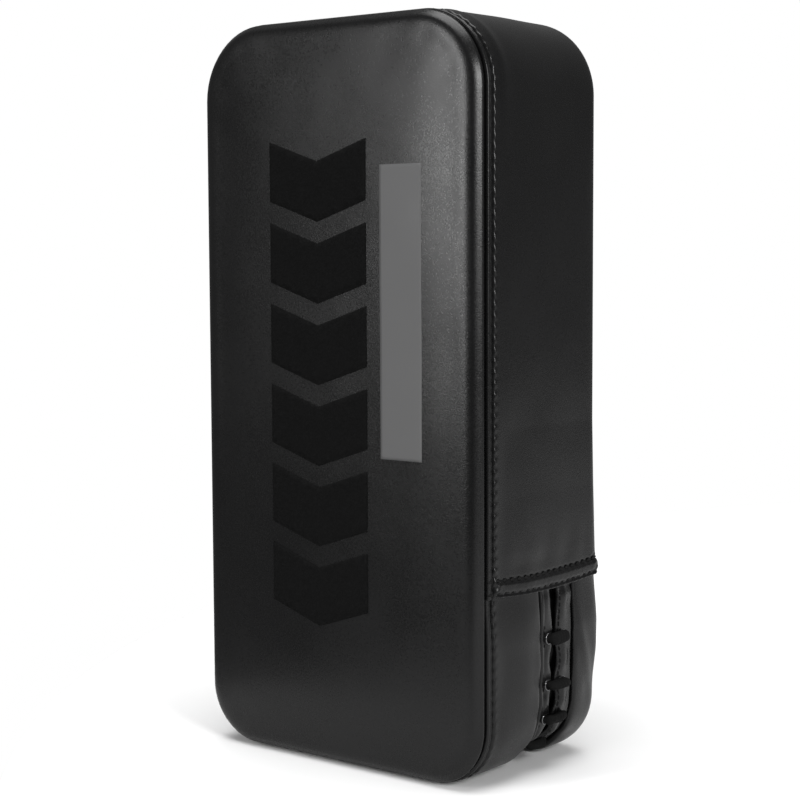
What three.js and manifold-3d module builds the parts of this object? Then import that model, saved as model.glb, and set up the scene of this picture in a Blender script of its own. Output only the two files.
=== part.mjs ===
// Kick shield: a laced foam strike pad with a grip handle and two forearm straps on its back.
// Millimetres. X runs across the pad, Y from the striking face towards the straps, Z up.
import * as THREE from "three";
import { mergeVertices } from "three/addons/utils/BufferGeometryUtils.js";
import Module from "manifold-3d";

const wasm = await Module();
wasm.setup();

// Driving dimensions of the cover. The front seam lies in the plane y = 0 while the parts are made.
const HEIGHT = 400;
const WIDTH = 190;
const TOP_RADIUS = 40;
const BOTTOM_RADIUS = 32;
const FRONT_FACE = -7;
const BACK_SEAM = 104.3;
const BACK_FACE = 108;
const BULGE = 1.4;
const SKIN = 1.5;
const GAP = 0.3;
const CORNER_STEPS = 6;

// Hem of the gusset band and the closure that starts below it, as heights above the bottom seam.
const HEM_EDGE = 98;
const HEM_WIDTH = 14;
const HEM_PROUD = 1.5;
const TUCK_TOP = HEM_EDGE + 14;
const TUCK_DEPTH = 1.9;
const FLUSH_DEPTH = 0.2;
const TUCK_BLEND = 12;

// Lacing: two facings with a slit between them, drawn together over a tongue.
const PANEL_FRONT_EDGE = 45.5;
const PANEL_BACK_EDGE = 78;
const FACING_FRONT = [46.3, 57.3];
const FACING_BACK = [62, 76.8];
const FACING_THICKNESS = 2.5;
const FACING_SINK_SIDE = 2;
const FACING_SINK_BOTTOM = 5.8;
const CROSSINGS_FROM_MIDDLE = [30, 60, 89, 108.5, 127, 152.3];
const EYELET_FRONT_Y = 53;
const EYELET_BACK_Y = 67.6;
const EYELET_BORE = 2.5;
const EYELET_BARREL = 2.9;
const EYELET_FLANGE = 3.7;
const EYELET_PROUD = 0.8;
const LACE_RADIUS = 2.1;
const LACE_BEND = 2.4;
const LACE_OVER = EYELET_PROUD + GAP + LACE_RADIUS;
const LACE_UNDER = FACING_THICKNESS + 0.2 + GAP + LACE_RADIUS;
const TONGUE_DEPTH = LACE_UNDER + LACE_RADIUS + GAP;

// Foam block.
const LAYER_ENDS = [20, 45.7, 79.3];
const FOAM_INSET = 2.6;
const LACING_POCKET = 13.6;

// Grip handle across the top of the back.
const HANDLE_HEIGHT = 335;
const GRIP_LENGTH = 100;
const GRIP_RADIUS = 14;
const GRIP_CORE_RADIUS = 9.5;
const GRIP_STANDOFF = 46;
const PIVOT_STANDOFF = 14;
const LEG_THICKNESS = 3;
const LEG_FOOT_RADIUS = 11;
const LEG_TOP_RADIUS = 13;
const ANCHOR_WIDTH = 26;
const ANCHOR_HEIGHT = 38;
const ANCHOR_THICKNESS = 2;

// Forearm straps: each an arch over the forearm, closed through a steel ring by hook and loop.
const STRAP_HEIGHTS = { upper: 215, lower: 105 };
const STRAP_WIDTH = 45;
const STRAP_THICKNESS = 2.4;
const ARCH_HALF_SPAN = 62;
const ARCH_RISE = 56;
const ARCH_BASE = BACK_FACE + 5.5;
const FOOT_END = 82;
const FOOT_BEND = 4.5;
const RING_WIRE_RADIUS = 2;
const RING_PITCH = 12.5;
const RING_HALF_LENGTH = 27;
const RING_CORNER = 4;
const WRAP_RADIUS = 4.8;
const EYE_CLEARANCE = 0.4;
const RETURN_ANGLE = 24;
const TAIL_OFFSET = 5.3;
const ARCH_END = 11.5;
const TAIL_SPAN = [36.2, 125];
const LOOP_SPAN = [42, 150];
const HOOK_SPAN = [45, 121];
const PATCH_INSET = 4;

const CUSHION = { width: 100, bottom: 66, top: 256, corner: 16, thickness: 8 };

const radians = (degrees) => (degrees * Math.PI) / 180;
const clamp01 = (value) => Math.min(1, Math.max(0, value));
const smooth = (value) => clamp01(value) ** 2 * (3 - 2 * clamp01(value));

// Outline of the pad, measured along its edge from the middle of the bottom towards +X.
const BOTTOM_FLAT = WIDTH / 2 - BOTTOM_RADIUS;
const BOTTOM_ARC = BOTTOM_FLAT + (BOTTOM_RADIUS * Math.PI) / 2;
const SIDE_END = BOTTOM_ARC + HEIGHT - TOP_RADIUS - BOTTOM_RADIUS;
const TOP_ARC = SIDE_END + (TOP_RADIUS * Math.PI) / 2;
const OUTLINE_HALF = TOP_ARC + WIDTH / 2 - TOP_RADIUS;
const OUTLINE_LENGTH = 2 * OUTLINE_HALF;

function outlineAt(distance) {
  const turned = ((distance % OUTLINE_LENGTH) + OUTLINE_LENGTH) % OUTLINE_LENGTH;
  const side = turned > OUTLINE_HALF ? -1 : 1;
  const along = side < 0 ? OUTLINE_LENGTH - turned : turned;
  let x = along;
  let z = 0;
  let angle = -Math.PI / 2;
  if (along > TOP_ARC) {
    x = OUTLINE_HALF - along;
    z = HEIGHT;
    angle = Math.PI / 2;
  } else if (along > SIDE_END) {
    angle = (along - SIDE_END) / TOP_RADIUS;
    x = WIDTH / 2 - TOP_RADIUS + TOP_RADIUS * Math.cos(angle);
    z = HEIGHT - TOP_RADIUS + TOP_RADIUS * Math.sin(angle);
  } else if (along > BOTTOM_ARC) {
    angle = 0;
    x = WIDTH / 2;
    z = BOTTOM_RADIUS + along - BOTTOM_ARC;
  } else if (along > BOTTOM_FLAT) {
    angle = (along - BOTTOM_FLAT) / BOTTOM_RADIUS - Math.PI / 2;
    x = WIDTH / 2 - BOTTOM_RADIUS + BOTTOM_RADIUS * Math.cos(angle);
    z = BOTTOM_RADIUS + BOTTOM_RADIUS * Math.sin(angle);
  }
  return { x: side * x, z, nx: side * Math.cos(angle), nz: Math.sin(angle) };
}

const sideDistance = (height) => BOTTOM_ARC + height - BOTTOM_RADIUS;

// The point at a distance along the outline, a depth y and an offset outwards from the outline.
function coverPoint(distance, y, offset) {
  const edge = outlineAt(distance);
  return new THREE.Vector3(edge.x + edge.nx * offset, y, edge.z + edge.nz * offset);
}

// Distances along the outline between two ends, with every corner divided into equal steps.
function stations(from, to, extra = []) {
  const halfList = [0, BOTTOM_FLAT, SIDE_END, OUTLINE_HALF];
  for (let i = 1; i <= CORNER_STEPS; i += 1) {
    halfList.push(BOTTOM_FLAT + ((BOTTOM_ARC - BOTTOM_FLAT) * i) / CORNER_STEPS);
    halfList.push(SIDE_END + ((TOP_ARC - SIDE_END) * i) / CORNER_STEPS);
  }
  const all = [from, to, ...extra];
  for (const distance of halfList) {
    all.push(distance, -distance, OUTLINE_LENGTH - distance);
  }
  const inside = all.filter((distance) => distance >= from && distance <= to);
  inside.sort((a, b) => a - b);
  return inside.filter((distance, i) => i === 0 || distance - inside[i - 1] > 1e-6);
}

// A closed geometry from points and triangles, turned so that its faces point outwards.
function closedGeometry(points, triangles) {
  let volume = 0;
  for (const [a, b, c] of triangles) {
    volume += points[a].dot(new THREE.Vector3().crossVectors(points[b], points[c]));
  }
  const order = triangles.map(([a, b, c]) => (volume < 0 ? [a, c, b] : [a, b, c]));
  const geometry = new THREE.BufferGeometry().setFromPoints(points);
  geometry.setIndex(order.flat());
  return geometry;
}

// Joins equal closed sections into one body; its two ends are capped unless it closes on itself.
function loft(sections, capShapes) {
  const count = sections[0].length;
  const links = capShapes ? sections.length - 1 : sections.length;
  const walls = [];
  for (let i = 0; i < links; i += 1) {
    const here = i * count;
    const next = ((i + 1) % sections.length) * count;
    for (let j = 0; j < count; j += 1) {
      const k = (j + 1) % count;
      walls.push([here + j, next + j, next + k], [here + j, next + k, here + k]);
    }
  }
  if (!capShapes) return closedGeometry(sections.flat(), walls);
  const last = (sections.length - 1) * count;
  const caps = [];
  for (const [a, b, c] of THREE.ShapeUtils.triangulateShape(capShapes[0], [])) {
    caps.push([a, c, b]);
  }
  for (const [a, b, c] of THREE.ShapeUtils.triangulateShape(capShapes[1], [])) {
    caps.push([last + a, last + b, last + c]);
  }
  return closedGeometry(sections.flat(), [...walls, ...matchedCaps(walls, caps)]);
}

// Cap triangles turned so that every edge they share with a wall runs the opposite way.
function matchedCaps(walls, caps) {
  const sides = ([a, b, c]) => [`${a}_${b}`, `${b}_${c}`, `${c}_${a}`];
  const wallEdges = new Set(walls.flatMap(sides));
  const clash = caps.flatMap(sides).some((edge) => wallEdges.has(edge));
  return clash ? caps.map(([a, b, c]) => [a, c, b]) : caps;
}

// A panel or foam layer: the outline at a list of [y, inset] steps, closed at both ends.
function insetLoft(steps) {
  const places = stations(0, OUTLINE_LENGTH).slice(0, -1);
  const sections = steps.map(([y, inset]) => places.map((s) => coverPoint(s, y, -inset)));
  const flat = (section) => section.map((p) => new THREE.Vector2(p.x, p.z));
  return loft(sections, [flat(sections[0]), flat(sections[sections.length - 1])]);
}

// A strip along the outline whose section, a ring of [y, offset], is given at each distance.
function stripLoft(places, ringAt) {
  const sections = places.map((s) => ringAt(s).map(([y, offset]) => coverPoint(s, y, offset)));
  const flat = (s) => ringAt(s).map(([y, offset]) => new THREE.Vector2(y, offset));
  return loft(sections, [flat(places[0]), flat(places[places.length - 1])]);
}

// A round tube through a list of points, open ended or closed on itself.
function tubeLoft(points, radius, sides, isClosed) {
  const count = points.length;
  const at = (i) => points[isClosed ? (i + count) % count : Math.min(count - 1, Math.max(0, i))];
  const circle = [];
  for (let j = 0; j < sides; j += 1) {
    const angle = (2 * Math.PI * j) / sides;
    circle.push(new THREE.Vector2(Math.cos(angle), Math.sin(angle)));
  }
  let across = null;
  const sections = points.map((point, i) => {
    const tangent = at(i + 1).clone().sub(at(i - 1)).normalize();
    if (!across) {
      const guide = Math.abs(tangent.y) < 0.9 ? new THREE.Vector3(0, 1, 0) : new THREE.Vector3(1, 0, 0);
      across = guide.cross(tangent);
    }
    across = across.clone().addScaledVector(tangent, -across.dot(tangent)).normalize();
    const up = new THREE.Vector3().crossVectors(tangent, across);
    return circle.map((c) =>
      point.clone().addScaledVector(across, radius * c.x).addScaledVector(up, radius * c.y),
    );
  });
  return loft(sections, isClosed ? null : [circle, circle]);
}

// Moves a [y, offset] profile inwards along its own normals by a distance given for each point.
function offsetProfile(profile, inwardAt) {
  return profile.map(([y, offset], i) => {
    const [y0, o0] = profile[Math.max(0, i - 1)];
    const [y1, o1] = profile[Math.min(profile.length - 1, i + 1)];
    const length = Math.hypot(y1 - y0, o1 - o0);
    const inward = inwardAt(y);
    return [y + (inward * (o1 - o0)) / length, offset - (inward * (y1 - y0)) / length];
  });
}

// Section of the cover from the front seam to the back seam, as [y, offset from the outline].
const BACK_ROUND = 8;
const BACK_ROUND_Y = 96.6;
const COVER_PROFILE = [
  [0.6, -1.5],
  [1.3, -0.3],
  [2.8, 0.3],
  [5, 0.2],
  [7, 0.7],
  [18, BULGE],
  [PANEL_FRONT_EDGE, BULGE],
  [PANEL_BACK_EDGE, BULGE],
  [BACK_ROUND_Y, BULGE],
];
for (const angle of [28, 52, 74]) {
  COVER_PROFILE.push([
    BACK_ROUND_Y + BACK_ROUND * Math.sin(radians(angle)),
    BULGE - BACK_ROUND + BACK_ROUND * Math.cos(radians(angle)),
  ]);
}

function gussetRing(distance) {
  const fromHem = Math.min(distance, OUTLINE_LENGTH - distance) - sideDistance(HEM_EDGE);
  const proud = fromHem < HEM_WIDTH ? HEM_PROUD : 0;
  const fade = (y) => clamp01((y - 2) / 4) * clamp01((BACK_SEAM - 0.5 - y) / 3);
  const outer = offsetProfile(COVER_PROFILE, (y) => -proud * fade(y));
  const inner = offsetProfile(COVER_PROFILE, () => SKIN);
  return [...outer, ...inner.reverse()];
}

function gussetBand() {
  const hem = sideDistance(HEM_EDGE);
  const extra = [HEM_WIDTH - 0.01, HEM_WIDTH + 0.6];
  const steps = extra.flatMap((d) => [hem + d, OUTLINE_LENGTH - hem - d]);
  return stripLoft(stations(hem, OUTLINE_LENGTH - hem, steps), gussetRing);
}

// How far the closure lies under the cover's surface: tucked in under the hem, flush below it.
function tuckAt(distance) {
  const below = sideDistance(HEM_EDGE) - Math.abs(distance);
  return FLUSH_DEPTH + (TUCK_DEPTH - FLUSH_DEPTH) * (1 - smooth(below / TUCK_BLEND));
}

// Moves a profile under the cover: towards the pad's middle at the front lip, inwards elsewhere.
function sunkProfile(profile, depth) {
  const lipEnd = 7;
  const lip = profile.filter(([y]) => y <= lipEnd);
  const shifted = lip.map(([y, offset]) => [y + (depth * (lipEnd - y)) / lipEnd, offset - depth]);
  return [...shifted, ...offsetProfile(profile, () => depth).slice(lip.length)];
}

function closurePanel(part) {
  const top = sideDistance(TUCK_TOP);
  const hem = sideDistance(HEM_EDGE);
  const extra = [hem, hem - TUCK_BLEND / 2, hem - TUCK_BLEND].flatMap((d) => [d, -d]);
  return stripLoft(stations(-top, top, extra), (distance) => {
    const tuck = tuckAt(distance);
    return [...sunkProfile(part, tuck), ...sunkProfile(part, tuck + SKIN).reverse()];
  });
}

// How far the lacing lies under the cover: shallow on the sides, deeper along the bottom edge.
function sinkAt(distance) {
  const toBottom = (BOTTOM_ARC - Math.abs(distance)) / (BOTTOM_ARC - BOTTOM_FLAT);
  return FACING_SINK_SIDE + (FACING_SINK_BOTTOM - FACING_SINK_SIDE) * smooth(toBottom);
}

// Lace bars from the right side of the pad, along its bottom, to the left side.
const crossings = [
  ...CROSSINGS_FROM_MIDDLE.toReversed(),
  0,
  ...CROSSINGS_FROM_MIDDLE.map((distance) => -distance),
];

function flatStrip(y0, y1, depth, thickness) {
  const top = sideDistance(TUCK_TOP) - 1;
  return stripLoft(stations(-top, top), (distance) => {
    const outer = BULGE - sinkAt(distance) - depth;
    return [
      [y0, outer - 0.6],
      [y0 + 0.8, outer],
      [y1 - 0.8, outer],
      [y1, outer - 0.6],
      [y1, outer - thickness],
      [y0, outer - thickness],
    ];
  });
}

// manifold-3d solids from three.js geometry and back, for the few cuts and joins.
function solidOf(geometry) {
  const bare = geometry.clone();
  bare.deleteAttribute("normal");
  bare.deleteAttribute("uv");
  const merged = mergeVertices(bare, 1e-4);
  return new wasm.Manifold(
    new wasm.Mesh({
      numProp: 3,
      vertProperties: new Float32Array(merged.attributes.position.array),
      triVerts: new Uint32Array(merged.index.array),
    }),
  );
}

function geometryOf(solid) {
  const mesh = solid.getMesh();
  const geometry = new THREE.BufferGeometry();
  geometry.setAttribute("position", new THREE.BufferAttribute(mesh.vertProperties, 3));
  geometry.setIndex(new THREE.BufferAttribute(mesh.triVerts, 1));
  return geometry;
}

// Places a geometry made along +Y at a crossing, with +Y turned to the cover's outward normal.
function placeAtCrossing(geometry, distance, y) {
  const edge = outlineAt(distance);
  const origin = coverPoint(distance, y, BULGE - sinkAt(distance));
  const matrix = new THREE.Matrix4().makeBasis(
    new THREE.Vector3(0, 1, 0),
    new THREE.Vector3(edge.nx, 0, edge.nz),
    new THREE.Vector3(edge.nz, 0, -edge.nx),
  );
  return geometry.clone().applyMatrix4(matrix.setPosition(origin));
}

const EYELET_SEGMENTS = 10;

function eyelet() {
  const bottom = -FACING_THICKNESS - 0.2;
  const profile = [
    [EYELET_BORE, bottom],
    [EYELET_BARREL, bottom],
    [EYELET_BARREL, GAP],
    [EYELET_FLANGE, GAP],
    [EYELET_FLANGE - 0.3, EYELET_PROUD],
    [EYELET_BORE + 0.2, EYELET_PROUD],
    [EYELET_BORE, bottom],
  ];
  return new THREE.LatheGeometry(profile.map(([r, h]) => new THREE.Vector2(r, h)), EYELET_SEGMENTS);
}

function lacingFacing([y0, y1], eyeletY) {
  let solid = solidOf(flatStrip(y0, y1, 0, FACING_THICKNESS));
  const drill = new THREE.CylinderGeometry(EYELET_BARREL + 0.4, EYELET_BARREL + 0.4, 12, 10);
  for (const distance of crossings) {
    solid = solid.subtract(solidOf(placeAtCrossing(drill, distance, eyeletY)));
  }
  return geometryOf(solid);
}

// Rounds the corners of a polyline of [distance, y, depth] points with short arcs.
function roundCorners(points, radius, steps) {
  const rounded = [points[0]];
  for (let i = 1; i < points.length - 1; i += 1) {
    const corner = points[i];
    const before = points[i - 1].clone().sub(corner).normalize();
    const after = points[i + 1].clone().sub(corner).normalize();
    const opening = before.angleTo(after);
    if (opening > radians(150)) {
      rounded.push(corner);
      continue;
    }
    const reach = radius / Math.tan(opening / 2);
    const middle = before.clone().add(after).normalize();
    const centre = corner.clone().addScaledVector(middle, radius / Math.sin(opening / 2));
    const start = corner.clone().addScaledVector(before, reach).sub(centre);
    const end = corner.clone().addScaledVector(after, reach).sub(centre);
    for (let j = 0; j <= steps; j += 1) {
      const arm = start.clone().lerp(end, j / steps).setLength(radius);
      rounded.push(centre.clone().add(arm));
    }
  }
  rounded.push(points[points.length - 1]);
  return rounded;
}

// One lace: straight bars over the slit, and slanting runs under it from each bar to the next.
function closureLace() {
  const route = [];
  const end = sideDistance(HEM_EDGE) + 5;
  route.push(new THREE.Vector3(end, EYELET_FRONT_Y, -LACE_UNDER));
  for (const [i, s] of crossings.entries()) {
    route.push(new THREE.Vector3(s, EYELET_FRONT_Y, -LACE_UNDER));
    route.push(new THREE.Vector3(s, EYELET_FRONT_Y, LACE_OVER));
    route.push(new THREE.Vector3(s, EYELET_BACK_Y, LACE_OVER));
    route.push(new THREE.Vector3(s, EYELET_BACK_Y, -LACE_UNDER));
    if (i === crossings.length - 1) break;
    for (const part of [0.33, 0.67]) {
      const y = EYELET_BACK_Y + (EYELET_FRONT_Y - EYELET_BACK_Y) * part;
      const along = s + (crossings[i + 1] - s) * part;
      route.push(new THREE.Vector3(along, y, -LACE_UNDER));
    }
  }
  route.push(new THREE.Vector3(-end, EYELET_BACK_Y, -LACE_UNDER));
  const points = roundCorners(route, LACE_BEND, 3);
  const placed = points.map((p) => coverPoint(p.x, p.y, BULGE - sinkAt(p.x) + p.z));
  return tubeLoft(placed, LACE_RADIUS, 6, false);
}

// Foam layer beside the lacing: narrower where the lacing needs its pocket.
function pocketedFoam(y0, y1) {
  const step = sideDistance(TUCK_TOP + 1.5);
  const shape = [];
  for (const distance of stations(-step, step)) {
    shape.push(coverPoint(distance, 0, -LACING_POCKET));
  }
  for (const distance of stations(step, OUTLINE_LENGTH - step)) {
    shape.push(coverPoint(distance, 0, -FOAM_INSET));
  }
  const outline = new THREE.Shape(shape.map((p) => new THREE.Vector2(p.x, p.z)));
  return alongY(new THREE.ExtrudeGeometry(outline, { depth: y1 - y0, bevelEnabled: false }), y1);
}

// Turns a shape drawn in X and Z, and extruded, so that it runs along Y and ends at yTop.
function alongY(geometry, yTop) {
  return geometry.rotateX(Math.PI / 2).translate(0, yTop, 0);
}

// Turns a shape drawn in Y and Z, and extruded, so that it runs along X from xStart.
function alongX(geometry, xStart) {
  const basis = new THREE.Matrix4().makeBasis(
    new THREE.Vector3(0, 1, 0),
    new THREE.Vector3(0, 0, 1),
    new THREE.Vector3(1, 0, 0),
  );
  return geometry.applyMatrix4(basis).translate(xStart, 0, 0);
}

function roundedRectangle(x0, z0, x1, z1, radius) {
  const shape = new THREE.Shape();
  shape.absarc(x1 - radius, z0 + radius, radius, -Math.PI / 2, 0, false);
  shape.absarc(x1 - radius, z1 - radius, radius, 0, Math.PI / 2, false);
  shape.absarc(x0 + radius, z1 - radius, radius, Math.PI / 2, Math.PI, false);
  shape.absarc(x0 + radius, z0 + radius, radius, Math.PI, 1.5 * Math.PI, false);
  return shape;
}

function backDoubler() {
  const inset = 16;
  const shape = roundedRectangle(-WIDTH / 2 + inset, inset, WIDTH / 2 - inset, HEIGHT - inset, 18);
  const settings = { depth: 1, bevelEnabled: false, curveSegments: 4 };
  return alongY(new THREE.ExtrudeGeometry(shape, settings), BACK_FACE - SKIN - GAP);
}

function forearmCushion() {
  const bevel = 3;
  const half = CUSHION.width / 2 - bevel;
  const shape = roundedRectangle(-half, CUSHION.bottom + bevel, half, CUSHION.top - bevel, CUSHION.corner);
  const settings = {
    depth: CUSHION.thickness - 2 * bevel,
    bevelThickness: bevel,
    bevelSize: bevel,
    bevelSegments: 2,
    curveSegments: 4,
  };
  return alongY(new THREE.ExtrudeGeometry(shape, settings), BACK_FACE + GAP + CUSHION.thickness - bevel);
}

// Handle: an anchor sewn on at each end, and a grip on two legs that tilts about the anchors.
const LEG_X = GRIP_LENGTH / 2 + GAP;
const TAB_X = LEG_X + LEG_THICKNESS + GAP + 0.1;
const PIVOT_Y = BACK_FACE + PIVOT_STANDOFF;
const GRIP_Y = BACK_FACE + GRIP_STANDOFF;

function legShape(footRadius, topY, topRadius) {
  const shape = new THREE.Shape();
  shape.absarc(PIVOT_Y, HANDLE_HEIGHT, footRadius, Math.PI / 2, 1.5 * Math.PI, false);
  shape.absarc(topY, HANDLE_HEIGHT, topRadius, -Math.PI / 2, Math.PI / 2, false);
  return shape;
}

function gripLeg(side) {
  const shape = legShape(LEG_FOOT_RADIUS, GRIP_Y, LEG_TOP_RADIUS);
  const settings = { depth: LEG_THICKNESS, bevelEnabled: false, curveSegments: 8 };
  const start = side > 0 ? LEG_X : -LEG_X - LEG_THICKNESS;
  return alongX(new THREE.ExtrudeGeometry(shape, settings), start);
}

function handleAnchor(side) {
  const tab = new THREE.Shape();
  tab.moveTo(BACK_FACE + GAP, HANDLE_HEIGHT + LEG_FOOT_RADIUS);
  tab.lineTo(BACK_FACE + GAP, HANDLE_HEIGHT - LEG_FOOT_RADIUS);
  tab.absarc(PIVOT_Y, HANDLE_HEIGHT, LEG_FOOT_RADIUS, -Math.PI / 2, Math.PI / 2, false);
  const settings = { depth: LEG_THICKNESS, bevelEnabled: false, curveSegments: 8 };
  const start = side > 0 ? TAB_X : -TAB_X - LEG_THICKNESS;
  const tabGeometry = alongX(new THREE.ExtrudeGeometry(tab, settings), start);
  const patch = new THREE.BoxGeometry(ANCHOR_WIDTH, ANCHOR_THICKNESS, ANCHOR_HEIGHT);
  const patchY = BACK_FACE + GAP + ANCHOR_THICKNESS / 2;
  patch.translate(side * (TAB_X + ANCHOR_WIDTH / 2), patchY, HANDLE_HEIGHT);
  return geometryOf(solidOf(tabGeometry).add(solidOf(patch)));
}

function gripCore() {
  const core = new THREE.CylinderGeometry(GRIP_CORE_RADIUS, GRIP_CORE_RADIUS, GRIP_LENGTH - 1, 14);
  return core.rotateZ(Math.PI / 2).translate(0, GRIP_Y, HANDLE_HEIGHT);
}

function gripWrap() {
  const outer = new THREE.Shape().absarc(GRIP_Y, HANDLE_HEIGHT, GRIP_RADIUS, 0, 2 * Math.PI, false);
  const bore = new THREE.Path().absarc(GRIP_Y, HANDLE_HEIGHT, GRIP_CORE_RADIUS + 0.5, 0, 2 * Math.PI, true);
  outer.holes.push(bore);
  const settings = { depth: GRIP_LENGTH, bevelEnabled: false, curveSegments: 16 };
  return alongX(new THREE.ExtrudeGeometry(outer, settings), -GRIP_LENGTH / 2);
}

// Forearm strap, drawn in X and Y and extruded along Z. The arch is half an ellipse.
function archPoint(degrees, offset) {
  const t = radians(degrees);
  const normal = new THREE.Vector2(ARCH_RISE * Math.cos(t), ARCH_HALF_SPAN * Math.sin(t)).normalize();
  const point = new THREE.Vector2(ARCH_HALF_SPAN * Math.cos(t), ARCH_BASE + ARCH_RISE * Math.sin(t));
  return point.addScaledVector(normal, offset);
}

const wrapCentre = archPoint(ARCH_END, WRAP_RADIUS);
const wrapOut = archPoint(ARCH_END, 2 * WRAP_RADIUS).sub(wrapCentre);
const wrapDown = new THREE.Vector2(wrapOut.y, -wrapOut.x);
const ringFoot = wrapCentre.clone().addScaledVector(wrapDown, RING_PITCH / WRAP_RADIUS);

// Middle line of the strap: sewn foot, arch, turn round the ring's upper bar, and return.
function strapLine() {
  const line = [];
  const footY = BACK_FACE + GAP + STRAP_THICKNESS / 2;
  line.push(new THREE.Vector2(-FOOT_END, footY));
  const bendX = -ARCH_HALF_SPAN - FOOT_BEND;
  for (let i = 0; i < 4; i += 1) {
    const angle = radians(-90 + 22.5 * i);
    const bend = new THREE.Vector2(Math.cos(angle), Math.sin(angle));
    line.push(new THREE.Vector2(bendX, footY + FOOT_BEND).addScaledVector(bend, FOOT_BEND));
  }
  for (let i = 0; i <= 18; i += 1) {
    line.push(archPoint(180 - ((180 - ARCH_END) * i) / 18, 0));
  }
  for (let i = 1; i <= 6; i += 1) {
    const angle = (Math.PI * i) / 6;
    const arm = wrapOut.clone().multiplyScalar(-Math.cos(angle));
    line.push(wrapCentre.clone().add(arm).addScaledVector(wrapDown, Math.sin(angle)));
  }
  for (let i = 1; i <= 5; i += 1) {
    const offset = 2 * WRAP_RADIUS + (TAIL_OFFSET - 2 * WRAP_RADIUS) * smooth(i / 5);
    line.push(archPoint(ARCH_END + (RETURN_ANGLE * i) / 5, offset));
  }
  return line;
}

function ribbonShape(line, thickness) {
  const side = (sign) =>
    line.map((point, i) => {
      const before = line[Math.max(0, i - 1)];
      const after = line[Math.min(line.length - 1, i + 1)];
      const along = after.clone().sub(before).normalize();
      const normal = new THREE.Vector2(-along.y, along.x);
      return point.clone().addScaledVector(normal, (sign * thickness) / 2);
    });
  return new THREE.Shape([...side(1), ...side(-1).reverse()]);
}

function archLine([from, to], offset, steps) {
  const line = [];
  for (let i = 0; i <= steps; i += 1) {
    line.push(archPoint(from + ((to - from) * i) / steps, offset));
  }
  return line;
}

function ribbon(line, thickness, width, height) {
  const settings = { depth: width, bevelEnabled: false };
  const geometry = new THREE.ExtrudeGeometry(ribbonShape(line, thickness), settings);
  return geometry.translate(0, 0, height - width / 2);
}

function ringTab(height) {
  const width = STRAP_WIDTH - 1;
  const eyeRadius = RING_WIRE_RADIUS + EYE_CLEARANCE;
  const settings = { depth: width, bevelEnabled: false, curveSegments: 12 };
  const eyeShape = new THREE.Shape();
  eyeShape.absarc(ringFoot.x, ringFoot.y, eyeRadius + STRAP_THICKNESS, 0, 2 * Math.PI, false);
  const eye = new THREE.ExtrudeGeometry(eyeShape, settings).translate(0, 0, height - width / 2);
  const footLength = FOOT_END - ringFoot.x;
  const foot = new THREE.BoxGeometry(footLength, STRAP_THICKNESS, width);
  foot.translate(ringFoot.x + footLength / 2, BACK_FACE + GAP + STRAP_THICKNESS / 2, height);
  const bore = new THREE.CylinderGeometry(eyeRadius, eyeRadius, width + 2, 16);
  bore.rotateX(Math.PI / 2).translate(ringFoot.x, ringFoot.y, height);
  return geometryOf(solidOf(eye).add(solidOf(foot)).subtract(solidOf(bore)));
}

// Rectangular wire ring standing on its lower bar, which runs through the tab's eye.
function strapRing(height) {
  const out = wrapCentre.clone().sub(ringFoot).normalize();
  const points = [];
  const corners = [
    [RING_PITCH - RING_CORNER, RING_HALF_LENGTH - RING_CORNER, 0],
    [RING_CORNER, RING_HALF_LENGTH - RING_CORNER, 90],
    [RING_CORNER, RING_CORNER - RING_HALF_LENGTH, 180],
    [RING_PITCH - RING_CORNER, RING_CORNER - RING_HALF_LENGTH, 270],
  ];
  for (const [along, z, start] of corners) {
    for (const turn of [0, 30, 60, 90]) {
      const angle = radians(start + turn);
      const u = along + RING_CORNER * Math.cos(angle);
      const w = z + RING_CORNER * Math.sin(angle);
      points.push(new THREE.Vector3(ringFoot.x + out.x * u, ringFoot.y + out.y * u, height + w));
    }
  }
  return tubeLoft(points, RING_WIRE_RADIUS, 8, true);
}

const vinyl = { color: 0x1b1b1c, roughness: 0.42, metalness: 0 };
const liner = { color: 0x161616, roughness: 0.8, metalness: 0 };
const foamGrey = { color: 0x5b5d60, roughness: 0.95, metalness: 0 };
const webbing = { color: 0x131313, roughness: 0.85, metalness: 0 };
const steel = { color: 0xb9bcc0, roughness: 0.28, metalness: 1 };

const shield = new THREE.Group();
// The base of the finished pad is z = 0, and y = 0 is midway between its front and back limits.
const REAR_LIMIT = ARCH_BASE + ARCH_RISE + TAIL_OFFSET + STRAP_THICKNESS / 2;
shield.position.set(0, -(FRONT_FACE + REAR_LIMIT) / 2, BULGE - FLUSH_DEPTH);

function addPart(name, geometry, look) {
  const mesh = new THREE.Mesh(geometry, new THREE.MeshStandardMaterial(look));
  mesh.name = name;
  shield.add(mesh);
}

// Cover.
addPart(
  "front_panel",
  insetLoft([
    [FRONT_FACE, 11],
    [FRONT_FACE + 0.5, 7],
    [FRONT_FACE + 1.6, 3.6],
    [FRONT_FACE + 3.2, 1.4],
    [FRONT_FACE + 5, 0.3],
    [0.2, 1.4],
    [0.2, 3],
    [FRONT_FACE + 3.8, 3.1],
    [FRONT_FACE + 2, 6.8],
    [FRONT_FACE + SKIN, 11.2],
  ]),
  vinyl,
);
addPart(
  "back_panel",
  insetLoft([
    [BACK_FACE, 11],
    [BACK_FACE - 0.6, 7],
    [BACK_FACE - 1.8, 5.2],
    [BACK_SEAM + 0.6, 5.5],
    [BACK_SEAM + 0.6, 7],
    [BACK_FACE - 2, 8],
    [BACK_FACE - SKIN, 11.2],
  ]),
  vinyl,
);
addPart("gusset_band", gussetBand(), vinyl);
addPart("closure_panel_front", closurePanel(COVER_PROFILE.filter(([y]) => y <= PANEL_FRONT_EDGE)), vinyl);
addPart("closure_panel_back", closurePanel(COVER_PROFILE.filter(([y]) => y >= PANEL_BACK_EDGE)), vinyl);

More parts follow.
